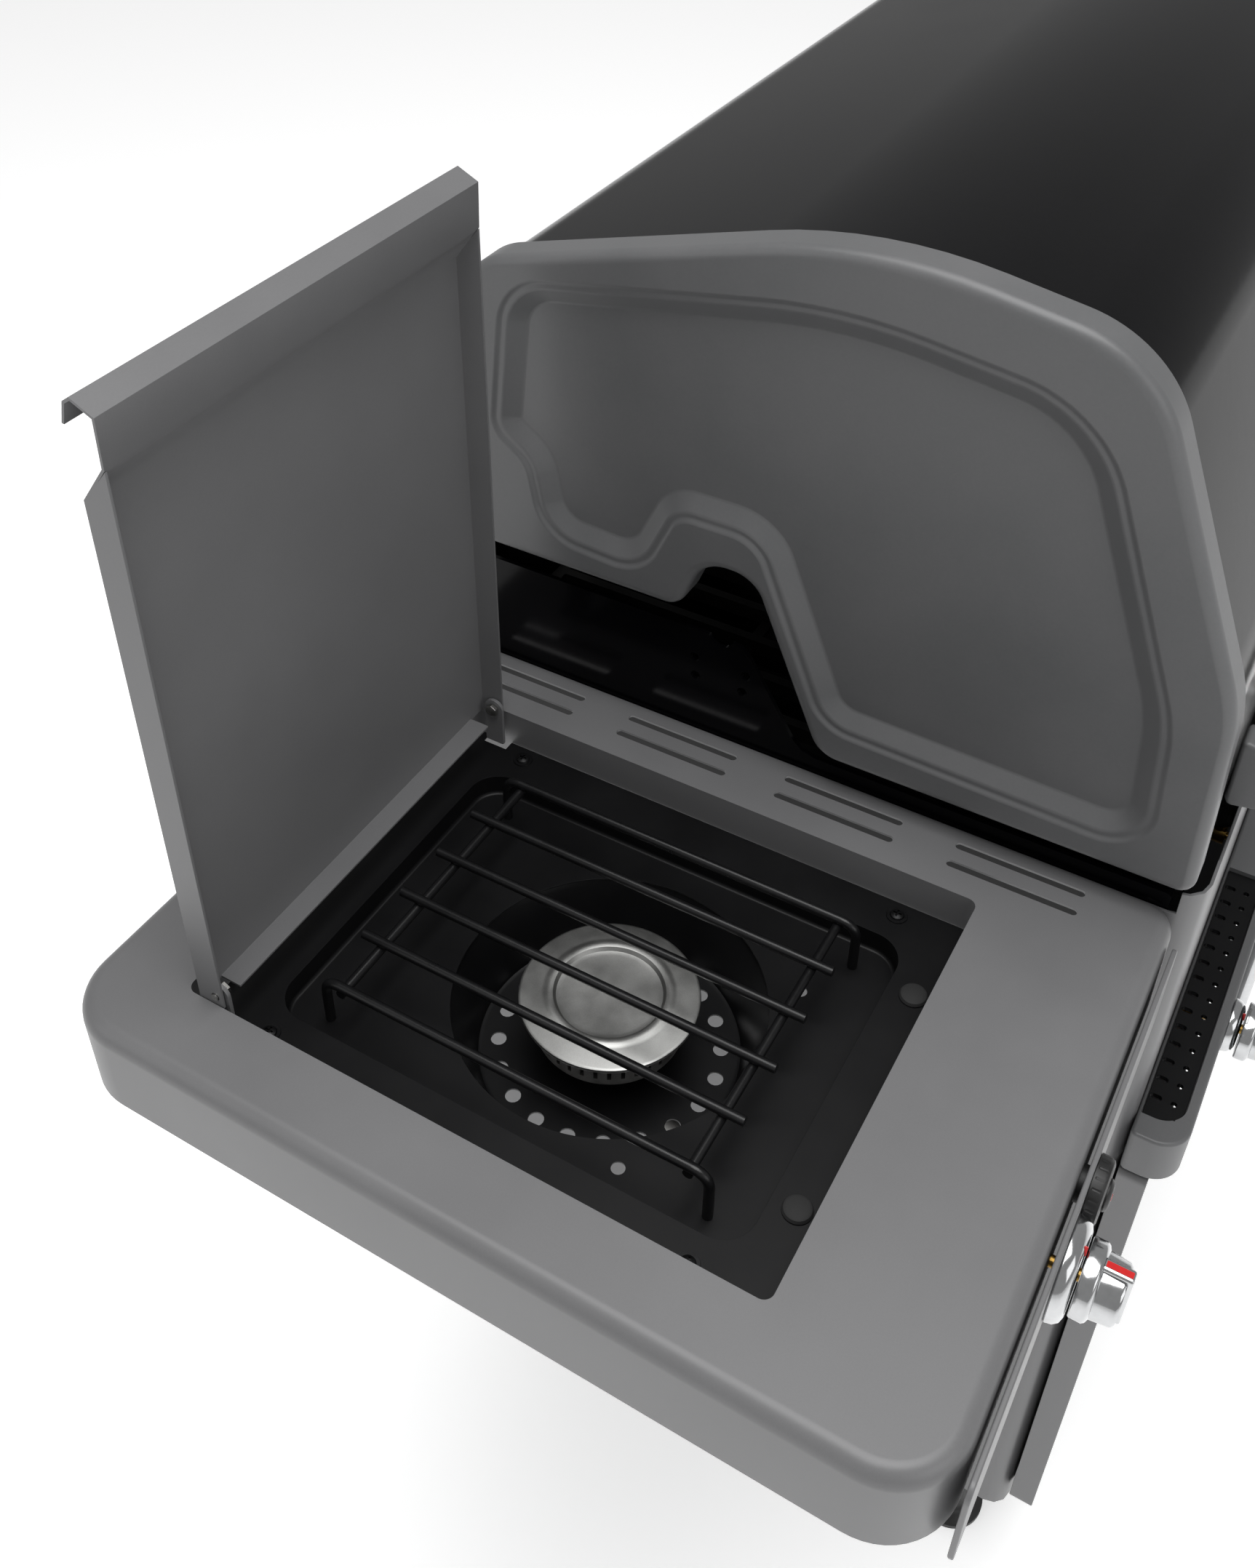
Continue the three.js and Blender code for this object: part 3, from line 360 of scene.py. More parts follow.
# The same casting as it leaves the mould, dulled by heat
dullAluminium = makeFinish("heat dulled aluminium casting", "#7d7c7a", "#5d5c5a", (0.45, 0.6),
                           metallic=0.9, grain=0.9, height=0.05, cloud=22)
# Brushed stainless steel: the brush runs across the grill
brushedSteel = makeFinish("brushed stainless steel", "#b6b5b2", "#9c9b98", (0.22, 0.34),
                          metallic=1, grain=0.5, height=0.01, cloud=80, stretch=(0.03, 1, 1))
# Chrome plate: nearly a mirror
chromePlate = makeFinish("chrome plate", "#c8c9ca", "#b6b7b8", (0.1, 0.17),
                         metallic=1, grain=4, height=0.004, cloud=40)
# Machined brass valve bodies
machinedBrass = makeFinish("machined brass", "#c09c56", "#a5803e", (0.25, 0.38),
                           metallic=1, grain=0.6, height=0.01, cloud=15)
# Moulded ABS with a spark-eroded texture
texturedPlastic = makeFinish("textured black ABS", "#171717", "#101010", (0.42, 0.55),
                             grain=0.7, height=0.05, cloud=30)
# Vulcanised rubber: dull, dusty in the low places
tyreRubber = makeFinish("moulded black rubber", "#1f1f1f", "#161616", (0.7, 0.85),
                        grain=1.2, height=0.06, cloud=25)
# Lacquered red pointer
redLacquer = makeFinish("red lacquer", "#d01414", "#b80f0f", (0.16, 0.24),
                        grain=3, height=0.01, cloud=30, coat=0.5)
# Blackened fastener steel
blackSteel = makeFinish("black oxide steel", "#1b1b1c", "#101011", (0.32, 0.48),
                        metallic=0.7, grain=0.6, height=0.02, cloud=8)
print("materials made")

# Left shelf and its opening

shelfValues = {
    "outer": -716.3, "inner": -330.3, "front": -252, "rear": shelfRear, "skirt": 61, "corner": 42,
    "innerCorner": 20, "edge": 10, "sheet": 1.5, "lap": 6, "softness": 0.9, "beyond": 60,
}
openingValues = {"outer": -668, "inner": -382, "front": -146.8, "rear": 214.8, "corner": 6, "flange": 28}
slotValues = {
    "rows": (-344.3, -360.7), "first": -200, "pitch": 116, "count": 4, "length": 81, "width": 5.6,
    "depth": 12,
}


def shelfPlan(margin):
    s = shelfValues
    u0, u1 = s["outer"] + margin, s["inner"] + s["lap"] - margin
    v0, v1 = s["front"] + margin, s["rear"] - margin
    return [[u0, v0, s["corner"] - margin], [u1, v0, s["innerCorner"] - margin],
            [u1, v1, s["innerCorner"] - margin], [u0, v1, s["corner"] - margin]]


def ventSlots():
    s = slotValues
    half = s["width"] / 2
    cutters = []
    for x in s["rows"]:
        for i in range(s["count"]):
            y = s["first"] + i * s["pitch"]
            plan = rectangle(x - half, x + half, y, y + s["length"], half - 0.1)
            cutters.append(slab("slot", "z", plan, -s["depth"], 3))
    return joinedPiece(cutters)


def buildLeftShelf():
    s, o = shelfValues, openingValues
    shelf = slab("left_shelf_top", "z", shelfPlan(0), -s["skirt"], 0, roundEnd=s["edge"], rounding=6)
    hollow = slab("hollow", "z", shelfPlan(s["sheet"]), -s["skirt"] - 5, -s["sheet"],
                  roundEnd=s["edge"] - s["sheet"], rounding=4)
    cutBy(shelf, hollow)
    side = rectangle(s["inner"], s["inner"] + s["beyond"], -400, 400, 0)
    cutBy(shelf, slab("side", "z", side, -90, 20))
    thick = s["sheet"]
    plan = rectangle(o["outer"] - thick, o["inner"] + thick, o["front"] - thick, o["rear"] + thick,
                     o["corner"] + thick)
    combine(shelf, slab("collar", "z", plan, -o["flange"], -0.7), "UNION")
    hole = rectangle(o["outer"], o["inner"], o["front"], o["rear"], o["corner"])
    cutBy(shelf, slab("hole", "z", hole, -s["beyond"], 20))
    softEdges(shelf, s["softness"], angle=50)
    cutBy(shelf, ventSlots())
    return complete(shelf, powderCoat, "left_shelf")


leftShelf = buildLeftShelf()

# A black enamel plate along the shelf's inner wall, under the vents: painted shade, so the vent slots read
# dark
ventShadePlateValues = {"thickness": 1.5, "low": -41, "high": -1.6, "ends": 20}


def buildVentShadePlate():
    s, h = shelfValues, ventShadePlateValues
    front, rear = s["front"] + h["ends"], s["rear"] - h["ends"]
    plan = rectangle(s["inner"] - h["thickness"], s["inner"], front, rear, 0.3)
    # painted shade: a black sheet set behind the vent slots
    ventShadePlate = slab("shelf_vent_painted_shade_plate", "z", plan, h["low"], h["high"], roundStart=0.4, rounding=2)
    complete(ventShadePlate, trayEnamel, "left_shelf")


buildVentShadePlate()

# Hinge plates that carry the burner lid
bracketValues = {
    "left": -664.9, "right": -389.4, "thickness": 2.5, "front": 186, "rear": 200, "low": -24, "high": 13,
    "round": 6.9, "softness": 0.3,
}


def buildLidBracket(side):
    k = bracketValues
    plate = slab("burner_lid_bracket_" + side, "x", [
        [k["front"], k["low"], 1], [k["rear"], k["low"], 1],
        [k["rear"], k["high"], k["round"]], [k["front"], k["high"], k["round"]],
    ], k[side], k[side] + k["thickness"])
    complete(softEdges(plate, k["softness"]), powderCoat, "left_shelf")


buildLidBracket("left")
buildLidBracket("right")
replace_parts(leftShelf, "left_shelf")
print("left shelf built")

# Side burner

burnerX = -525
burnerY = 23
trayValues = {
    "sheet": 1.2, "rear": 214.3, "basinHalf": 113, "basinFront": -118, "basinRear": 183.5, "depth": 15,
    "corner": 20, "gap": 0.5, "mouth": 94, "drain": 4, "drains": ((-95, 62), (38, 62), (-60, -94)),
}


def buildTray():
    t, o = trayValues, openingValues
    top = -o["flange"] + 0.3 + t["sheet"]
    gap, sheet, low = t["gap"], t["sheet"], -o["flange"] - t["depth"]
    rim = rectangle(o["outer"] + gap, o["inner"] - gap, o["front"] + gap, t["rear"], 5)
    tray = slab("side_burner_tray", "z", rim, top - sheet, top)

    def basinPlan(margin):
        half = t["basinHalf"] + margin
        return rectangle(burnerX - half, burnerX + half, t["basinFront"] - margin, t["basinRear"] + margin,
                         t["corner"] + margin)

    combine(tray, slab("basin", "z", basinPlan(sheet), low, top - 0.4, roundStart=3), "UNION")
    cutBy(tray, slab("room", "z", basinPlan(0), low + sheet, top + 5, roundStart=2.5))
    cutBy(tray, rodPiece("mouth", "z", atShelf(burnerX, burnerY, 0), t["mouth"], -60, 0, steps=96))
    small = [rodPiece("drain", "z", atShelf(burnerX + x, burnerY + y, 0), t["drain"], -60, -20, steps=20)
             for y, x in t["drains"]]
    cutBy(tray, joinedPiece(small))
    for edge in (o["outer"], o["inner"]):
        cutBy(tray, slab("notch", "z", rectangle(edge - 8, edge + 8, 184, 202, 0), -32, 4))
    softEdges(tray, 0.9, angle=50, segments=3)
    return complete(tray, trayEnamel, "burner_tray")


tray = buildTray()
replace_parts(tray, "burner_tray")

screwValues = {
    "places": [(-393, 168), (-393, -103), (-656, -98), (-654, 171)], "head": 4.6, "height": 2.6,
    "slotHalf": 2.6, "slotWidth": 1.2, "slotFloor": 1.3,
}
bumperValues = {"places": [(-445, -134), (-602, -133)], "radius": 8, "height": 3.2}


def traySeat():
    return -openingValues["flange"] + 0.3 + trayValues["sheet"]


def buildScrews():
    s = screwValues
    x, y = s["places"][0]
    z = traySeat()
    head = turnedPiece("tray_screw", "z", atShelf(x, y, z), [
        [0, 0], [s["head"] - 0.2, 0], [s["head"], 0.5], [s["head"] - 0.6, 1.7],
        [s["head"] * 0.5, s["height"]], [0, s["height"]]], 32)
    for a, b in ((s["slotHalf"], s["slotWidth"] / 2), (s["slotWidth"] / 2, s["slotHalf"])):
        cutBy(head, slab("bar", "z", rectangle(x - a, x + a, y - b, y + b, 0), z + s["slotFloor"], z + 5))
    washer = turnedPiece("washer", "z", atShelf(x, y, z), [
        [2, -0.2], [6.4, -0.2], [6.6, 0.3], [6.4, 0.7], [2, 0.7]], 32)
    head = joinedPiece([head, washer])
    for piece in copies(head, [((px - x) * mm, (py - y) * mm, 0) for px, py in s["places"][1:]]):
        complete(piece, blackSteel, "burner_tray")


buildScrews()


def buildBumpers():
    b = bumperValues
    x, y = b["places"][0]
    button = turnedPiece("rubber_bumper", "z", atShelf(x, y, traySeat()), [
        [0, -0.2], [b["radius"], -0.2], [b["radius"] + 0.4, 0.8], [b["radius"] - 0.4, 2.4],
        [b["radius"] - 2, b["height"]], [0, b["height"]]], 40)
    for piece in copies(button, [((px - x) * mm, (py - y) * mm, 0) for px, py in b["places"][1:]]):
        complete(piece, tyreRubber, "burner_tray")


buildBumpers()

bowlValues = {
    "bowl": 94, "ring": 80, "throat": 20, "top": -43.3, "low": -86, "sheet": 1.2, "holes": 20,
    "holeRadius": 4.8, "holeCircle": 67.5,
}


def buildBowl():
    b = bowlValues
    top, low, thin = b["top"], b["low"], b["sheet"]
    bowl = turnedPiece("side_burner_bowl", "z", atShelf(burnerX, burnerY, 0), [
        [b["throat"], low], [b["ring"] - 3, low], [b["ring"] + 0.4, low + 0.8], [b["ring"] + 1.4, low + 3.4],
        [b["bowl"] + 0.8, top - 5], [b["bowl"] + 2.6, top - thin - 1], [b["bowl"] + 8, top - thin],
        [b["bowl"] + 8, top], [b["bowl"] + 2.4, top - 0.1], [b["bowl"] - 0.4, top - 4],
        [b["ring"] + 0.2, low + 4.6], [b["ring"] - 0.6, low + 2], [b["ring"] - 3, low + thin],
        [b["throat"] + 2, low + thin], [b["throat"], low + thin + 0.6]], 96)
    holes = []
    for i in range(b["holes"]):
        angle = (i + 0.5) / b["holes"] * 2 * pi
        place = atShelf(burnerX + b["holeCircle"] * cos(angle), burnerY + b["holeCircle"] * sin(angle), 0)
        holes.append(rodPiece("hole", "z", place, b["holeRadius"], low - 3, low + 5, steps=16))
    cutBy(bowl, joinedPiece(holes))
    return complete(bowl, trayEnamel, "burner_bowl")


bowl = buildBowl()
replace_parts(bowl, "burner_bowl")

capValues = {"radius": 54, "top": -36, "ring": 36, "dish": 30}


def buildCap():
    c = capValues
    top, radius, ring, dish = c["top"], c["radius"], c["ring"], c["dish"]
    cap = turnedPiece("side_burner_cap", "z", atShelf(burnerX, burnerY, 0), [
        [0, top - 5], [radius - 8, top - 5], [radius - 1.8, top - 4.4], [radius - 0.3, top - 3.6],
        [radius, top - 2.6], [radius - 0.4, top - 1.6], [radius - 1.8, top - 0.9], [ring + 4.5, top + 0.1],
        [ring + 2.4, top + 0.5], [ring + 1, top + 1.1], [ring - 1, top + 1.2], [ring - 2.6, top + 0.8],
        [dish + 1.6, top - 1.1], [dish - 1.5, top - 1.6], [10, top - 1.9], [0, top - 1.95]], 96)
    return complete(cap, castAluminium, "burner_cap")


cap = buildCap()
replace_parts(cap, "burner_cap")

headValues = {
    "radius": 46, "neck": 17, "low": -136, "ports": 36, "portWidth": 2.4, "portLow": 15, "portHigh": 8,
}


def buildHead():
    h = headValues
    top = capValues["top"] - 5.3
    radius, neck, low, slit = h["radius"], h["neck"], h["low"], h["portWidth"] / 2
    head = turnedPiece("side_burner_head", "z", atShelf(burnerX, burnerY, 0), [
        [0, low], [15, low], [neck, low + 8], [neck, top - 36], [neck + 4, top - 33], [radius - 6, top - 25],
        [radius - 1, top - 21], [radius, top - 18], [radius, top - 7], [radius - 2, top - 5.6],
        [radius - 2.4, top - 0.6], [radius - 3, top], [0, top]], 96)
    plan = rectangle(burnerX + radius - 7, burnerX + radius + 3, burnerY - slit, burnerY + slit, 0)
    port = slab("port", "z", plan, top - h["portLow"], top - h["portHigh"])
    centre = atShelf(burnerX, burnerY, 0)
    ports = [port]
    for i in range(1, h["ports"]):
        selectOnly(port)
        bpy.ops.object.duplicate(linked=False)
        twin = bpy.context.object
        turn = Matrix.Rotation(2 * pi * i / h["ports"], 4, "Z")
        twin.data.transform(Matrix.Translation(centre) @ turn @ Matrix.Translation(-centre))
        ports.append(twin)
    cutBy(head, joinedPiece(ports))
    return complete(head, dullAluminium, "burner_head")


head = buildHead()
feedValues = {
    "radius": 9, "bend": 30,
    "line": [(burnerX, burnerY, -121), (burnerX - 5, burnerY - 40, -120), (burnerX - 16, burnerY - 110, -110),
             (-551, burnerY - 180, -56), (-553, -210.7, -42)],
}
feedPipe = wirePiece("side_burner_feed", feedValues["line"], feedValues["radius"],
                     bend=feedValues["bend"], sides=5)
complete(feedPipe, dullAluminium, "burner_head", angle=50)
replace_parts(head, "burner_head")

trivetValues = {
    "wire": 3, "width": 189, "front": -94, "rear": 159, "bars": 6, "drop": 6.5, "foot": -41.5, "bend": 11,
    "under": 4.8, "crossInset": 15,
}


def buildTrivet():
    t = trivetValues
    front, rear, wire, z = t["front"], t["rear"], t["wire"], -t["drop"]
    wires = []
    for i in range(t["bars"]):
        x = burnerX - t["width"] / 2 + i * t["width"] / (t["bars"] - 1)
        if i in (0, t["bars"] - 1):
            line = [(x, front + 3, t["foot"]), (x, front + 3, z), (x, rear - 3, z), (x, rear - 3, t["foot"])]
            wires.append(wirePiece("wire", line, wire, bend=t["bend"]))
        else:
            wires.append(wirePiece("wire", [(x, front + 2, z), (x, rear - 2, z)], wire))
    half, under = t["width"] / 2 + 2, z - t["under"]
    for y in (front + t["crossInset"], rear - t["crossInset"]):
        wires.append(wirePiece("wire", [(burnerX - half, y, under), (burnerX + half, y, under)], wire))
    trivet = joinedPiece(wires)
    trivet.name = "side_burner_trivet"
    return complete(trivet, wireEnamel, "trivet", angle=50)


trivet = buildTrivet()
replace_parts(trivet, "trivet")
print("side burner built")

# Main lid

crown = [[-252, 160, 120], [-172, 352, 80], [-20, 378, 300], [232, 308, 45], [252, 200, 50]]
lidValues = {
    "half": 343, "inside": 317.7, "front": 26, "rear": 104, "frontY": -256, "rearY": 250, "rim": 7,
    "recess": 9, "hinge": (214, 144), "wall": 2, "step": 0.06, "castWall": 4, "lineDepth": 1.8,
    "lineMargins": (11, 8), "slopeMargins": (5, -7), "boss": 26, "pin": 5.4, "softness": 1.6,
    "thermometer": 140,
}
recess = [[-218, 54, 22], [-212, 140, 120], [-146, 310, 70], [-10, 330, 300], [196, 294, 30], [206, 200, 10],
          [182, 183, 30], [172, 134, 24], [112, 130, 24], [88, 183, 24], [24, 183, 34], [-28, 60, 22]]


def endOutline():
    v = lidValues
    arch = [[v["rearY"], v["rear"], 12], [81, v["rear"], 14], [65, 145, 24], [31, 145, 22],
            [-21, v["front"], 22]]
    return [[v["frontY"], v["front"], 10], *crown, *arch]


def grown(corners, margin):
    moved = []
    count = len(corners)
    for i, (u, v, radius) in enumerate(corners):
        here = Vector((u, v))
        a = (here - Vector(corners[i - 1][:2])).normalized()
        b = (Vector(corners[(i + 1) % count][:2]) - here).normalized()
        normal = Vector((-(a.y + b.y), a.x + b.x)).normalized()
        reach = margin / max(0.4, abs(normal.dot(Vector((-a.y, a.x)))))
        convex = a.cross(b) < 0
        rounding = max(2, radius + (margin if convex else -margin))
        moved.append([u + normal.x * reach, v + normal.y * reach, rounding])
    return moved


def mirrored(piece, name):
    selectOnly(piece)
    bpy.ops.object.duplicate(linked=False)
    twin = bpy.context.object
    twin.name = name
    twin.data.transform(Matrix.Scale(-1, 4, Vector((1, 0, 0))))
    selectOnly(twin)
    bpy.ops.object.mode_set(mode="EDIT")
    bpy.ops.mesh.select_all(action="SELECT")
    bpy.ops.mesh.flip_normals()
    bpy.ops.object.mode_set(mode="OBJECT")
    return twin


def buildLidEnd():
    v = lidValues
    x0, x1 = -v["half"], -v["inside"] - 0.3
    step, deep = v["step"], v["recess"]
    end = slab("lid_end_left", "x", endOutline(), x0, x1, roundStart=v["rim"], rounding=6, step=step)
    outer, inner = (grown(recess, margin) for margin in v["lineMargins"])
    cutBy(end, slab("step", "x", outer, x0 - 1, x0 + v["lineDepth"], endCorners=inner, step=step))
    outer, inner = (grown(recess, margin) for margin in v["slopeMargins"])
    cutBy(end, slab("dish", "x", outer, x0 + 1, x0 + deep, endCorners=inner, step=step))
    y, z = v["hinge"]
    boss = turnedPiece("boss", "x", atShelf(x0, y, z), [
        [v["pin"], 0.6], [v["boss"] - 2, 0.6], [v["boss"], 1.6], [v["boss"], deep + 1],
        [v["pin"], deep + 1]], 64)
    combine(end, boss, "UNION")
    room = grown(endOutline(), -v["castWall"])
    cutBy(end, slab("inside", "x", room, x0 + deep + v["castWall"], x1 + 2, step=step))
    softEdges(end, v["softness"], angle=24, segments=3)
    return end


lidEnd = buildLidEnd()
lidEndRight = mirrored(lidEnd, "lid_end_right")
complete(lidEnd, castPaintWithPaintedShade, "lid_left_end", angle=40)
complete(lidEndRight, castPaintWithPaintedShade, "lid_right_end", angle=40)
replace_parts(lidEnd, "lid_left_end")
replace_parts(lidEndRight, "lid_right_end")


def barrelOutline(margin, low):
    v = lidValues
    inset = v["castWall"] + margin
    shifts = (inset, inset, 0, -inset, -inset)
    shifted = [[y + shift, z - inset, r] for shift, (y, z, r) in zip(shifts, crown)]
    front, rear = v["front"] + low, v["rear"] + low
    return [[v["frontY"] + inset, front, 0.5], *shifted, [v["rearY"] - inset, rear, 0.5],
            [v["rearY"] - 40, rear, 0], [v["frontY"] + 40, front, 0]]


def buildBarrel():
    v = lidValues
    end = v["inside"]
    barrel = slab("lid_barrel_skin", "x", barrelOutline(0, 0), -end, end, step=v["step"])
    cutBy(barrel, slab("inside", "x", barrelOutline(v["wall"], -60), -end - 1, end + 1, step=v["step"]))
    below = rectangle(v["frontY"] + 20, v["rearY"] - 20, -100, 150, 0)
    cutBy(barrel, slab("below", "x", below, -end - 1, end + 1))
    for low, high in ((-end - 1, -end + 12), (end - 12, end + 1)):  # room for the hinge bosses
        cutBy(barrel, slab("ear", "x", rectangle(150, 260, 60, 189, 0), low, high))
    cutBy(barrel, rodPiece("stem", "y", atShelf(0, 0, v["thermometer"]), 6, -266, -236, steps=24))
    softEdges(barrel, 0.4, angle=60)
    return complete(barrel, glossEnamel, "lid_barrel", angle=25)


barrel = buildBarrel()
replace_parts(barrel, "lid_barrel")
print("lid built")

# Knobs, bezels and the igniter

knobValues = {
    "radius": 21, "length": 24, "bore": 4.1, "grip": 8, "bezelDepth": 9.7, "stripe": 3.6, "bezelBore": 8,
    "mainBezel": 19.5, "sideBezel": 28, "mainX": (-190, 0, 190), "mainFace": -300, "sideX": -553,
    "sideZ": -42, "sideFace": -258,
}


def buildKnob(node, x, z, face):
    k = knobValues
    r, long, bore, half, line = k["radius"], k["length"], k["bore"], k["grip"] / 2, k["stripe"] / 2
    skirt = turnedPiece("knob_" + node, "y", atShelf(x, face, z), [
        [bore, 0], [r - 0.6, 0], [r, -0.8], [r, -7], [r - 1.2, -8.6], [r - 3.4, -9.6], [r - 4.4, -long + 4],
        [r - 6, -long + 2.2], [bore, -long + 2.2]], 64)
    grip = slab("grip", "y", rectangle(x - half, x + half, z - r + 1, z + r - 1, 2), face - long, face - 8)
    softEdges(grip, 1.2, segments=3)
    combine(skirt, grip, "UNION")
    complete(skirt, chromePlate, node, angle=40)
    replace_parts(skirt, node)
    stripe = slab("stripe_" + node, "y", rectangle(x - line, x + line, z, z + r - 2.5, 1),
                  face - long + 0.05, face - long + 1.2)
    edge = slab("edge", "z", rectangle(x - line, x + line, face - long + 1, face - 9.5, 0.5),
                z + r - 2, z + r - 0.94)
    complete(joinedPiece([stripe, edge]), redLacquer, node)


def buildBezel(name, owner, x, z, face, radius):
    d, bore = knobValues["bezelDepth"], knobValues["bezelBore"]
    ring = turnedPiece(name, "y", atShelf(x, face, z), [
        [bore, -0.2], [radius, -0.2], [radius + 0.4, -1.2], [radius - 0.4, -d + 5], [radius - 2.6, -d + 2.2],
        [radius - 6, -d + 0.9], [bore, -d + 0.9]], 72)
    complete(ring, chromePlate, owner, body="root", angle=40)
    base = z + radius - 7.6
    pointer = slab(name + "_pointer", "y", [[x - 2.6, base, 0.4], [x + 2.6, base, 0.4], [x, base + 5.4, 0.4]],
                   face - d + 0.35, face - d + 2.6)
    complete(pointer, redLacquer, owner, body="root")


def buildKnobs():
    k = knobValues
    low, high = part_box("main_knob_1")
    z = ((low[2] + high[2]) / 2 - shelfTop) / mm
    for i, x in enumerate(k["mainX"]):
        node = "main_knob_%d" % (i + 1)
        buildKnob(node, x, z, (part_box(node)[1][1] - yBase) / mm)
        buildBezel("bezel_%d" % (i + 1), node, x, z, k["mainFace"], k["mainBezel"])
    buildKnob("side_knob", k["sideX"], k["sideZ"], (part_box("side_knob")[1][1] - yBase) / mm)
    buildBezel("side_bezel", "side_knob", k["sideX"], k["sideZ"], k["sideFace"], k["sideBezel"])


buildKnobs()

igniterValues = {"x": -513, "z": -27, "face": -258.3, "flutes": 20, "flute": 1.1, "fluteCircle": 19.4}


def buildIgniter():
    g = igniterValues
    x, z, face = g["x"], g["z"], g["face"]
    shell = turnedPiece("igniter_shell", "y", atShelf(x, face, z), [
        [9.4, -8], [15.5, -8], [17.6, -7.2], [18.8, -5], [18.8, 0], [10.3, 0], [10.3, 24], [9.4, 24]], 60)
    flutes = []
    for i in range(g["flutes"]):
        angle = 2 * pi * i / g["flutes"]
        place = atShelf(x + g["fluteCircle"] * cos(angle), 0, z + g["fluteCircle"] * sin(angle))
        flutes.append(rodPiece("flute", "y", place, g["flute"], face - 9, face - 0.8, steps=10))
    cutBy(shell, joinedPiece(flutes))
    complete(shell, texturedPlastic, "igniter_housing", angle=40)
    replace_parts(shell, "igniter_housing")
    button = turnedPiece("igniter_cap", "y", atShelf(x, face, z), [
        [0, -11], [5, -11], [7.6, -10.4], [8.8, -9], [8.8, 11], [0, 11]], 48)
    complete(button, texturedPlastic, "igniter_button", angle=40)
    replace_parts(button, "igniter_button")
    dot = turnedPiece("igniter_dot", "y", atShelf(x, face - 10.9, z), [
        [0, -0.3], [2, -0.3], [2.3, 0.3], [0, 0.3]], 24)
    complete(dot, redLacquer, "igniter_button")


buildIgniter()
print("controls built")

# Turned and simple pieces

wheelValues = {"radius": 62, "half": 15, "hub": 18, "x": 250, "holes": 6, "hole": 8, "holeCircle": 33}


def buildWheel(node, y):
    w = wheelValues
    r, h = w["radius"], w["half"]
    centre = Vector((w["x"] * mm, yBase + y * mm, r * mm))
    tyre = turnedPiece("tyre_" + node, "y", centre, [
        [r - 14, -h + 6], [r - 12, -h + 0.8], [r - 10, -h], [r - 5, -h], [r - 1.6, -h + 1.6], [r, -h + 6],
        [r, h - 6], [r - 1.6, h - 1.6], [r - 5, h], [r - 10, h], [r - 12, h - 0.8], [r - 14, h - 6]], 72)
    complete(tyre, tyreRubber, node, angle=40)
    disc = turnedPiece("hub_" + node, "y", centre, [
        [6.3, -h - 2], [15, -h - 2], [16.5, -h - 0.6], [w["hub"], -h + 6.4], [r - 17, -h + 6.4],
        [r - 13.8, -h + 4], [r - 13.8, h - 4], [r - 17, h - 6.4], [w["hub"], h - 6.4], [16.5, h + 0.6],
        [15, h + 2], [6.3, h + 2]], 72)
    holes = []
    for i in range(w["holes"]):
        angle = 2 * pi * i / w["holes"]
        reach = Vector((cos(angle), 0, sin(angle))) * w["holeCircle"] * mm
        holes.append(rodPiece("hole", "y", centre + reach, w["hole"], -h - 2, h + 2, steps=28))
    cutBy(disc, joinedPiece(holes))
    complete(disc, texturedPlastic, node, angle=40)
    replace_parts(tyre, node)


legValues = {"x": -290, "pad": 30, "radius": 20, "height": 129.7}


def buildLeg(node, y):
    g = legValues
    pad, r, top = g["pad"], g["radius"], g["height"]
    leg = turnedPiece("leg_" + node, "z", Vector((g["x"] * mm, yBase + y * mm, 0)), [
        [0, 0], [pad - 1.5, 0], [pad, 1.5], [pad, 6.5], [pad - 2, 8.4], [r + 2.5, 11.5], [r + 0.6, 14.5],
        [r, 18], [r, 126], [r - 1, top], [0, top]], 56)
    complete(leg, texturedPlastic, node, angle=40)
    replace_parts(leg, node)


axleY = 215
buildWheel("front_wheel", -axleY)
buildWheel("rear_wheel", axleY)
buildLeg("front_foot", -axleY)
buildLeg("rear_foot", axleY)

handleValues = {"y": -294, "z": 67, "half": 251, "radius": 12, "edge": 0.6}


def buildHandleGrip():
    h = handleValues
    r, half, edge = h["radius"], h["half"], h["edge"]
    grip = turnedPiece("lid_handle_grip", "x", atShelf(0, h["y"], h["z"]), [
        [0, -half], [r - edge, -half], [r, -half + edge], [r, half - edge], [r - edge, half], [0, half]], 56)
    complete(grip, brushedSteel, "lid_handle_tube", angle=40)
    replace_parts(grip, "lid_handle_tube")


buildHandleGrip()

dialValues = {
    "radius": 36, "face": -256, "marks": 11, "firstMark": 225, "markPitch": 27, "markIn": 22,
    "markOut": 27.5,
}


def buildThermometer():
    d = dialValues
    r, face, height = d["radius"], d["face"], lidValues["thermometer"]
    centre = atShelf(0, face, height)
    rim = turnedPiece("thermometer_rim", "y", centre, [
        [r - 6, -6], [r - 5, -8.6], [r - 3, -9], [r - 0.8, -8.2], [r, -6], [r, 1.3], [0, 1.3], [0, -5],
        [r - 6.4, -5]], 80)
    complete(rim, chromePlate, "thermometer", angle=40)
    stem = rodPiece("thermometer_stem", "y", centre, 4, 1, 60)
    complete(stem, brushedSteel, "thermometer")
    marks = []
    for i in range(d["marks"]):
        turn = Matrix.Rotation(radians(d["firstMark"] - d["markPitch"] * i) - pi / 2, 4, "Y").inverted()
        mark = slab("mark", "y", rectangle(-0.5, 0.5, d["markIn"], d["markOut"], 0), face - 5.5, face - 5.1)
        mark.data.transform(Matrix.Translation(centre) @ turn @ Matrix.Translation(-atShelf(0, face, 0)))
        marks.append(mark)
    scale = joinedPiece(marks)
    scale.name = "thermometer_marks"
    complete(scale, blackSteel, "thermometer")
    tail, tip = height - 8, height + 22
    plan = [[-1.6, tail, 0.5], [1.6, tail, 0.5], [0.5, tip, 0.3], [-0.5, tip, 0.3]]
    hand = slab("thermometer_hand", "y", plan, face - 6.4, face - 5.7)
    complete(hand, redLacquer, "thermometer")
    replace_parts(rim, "thermometer")


buildThermometer()
print("turned pieces built")

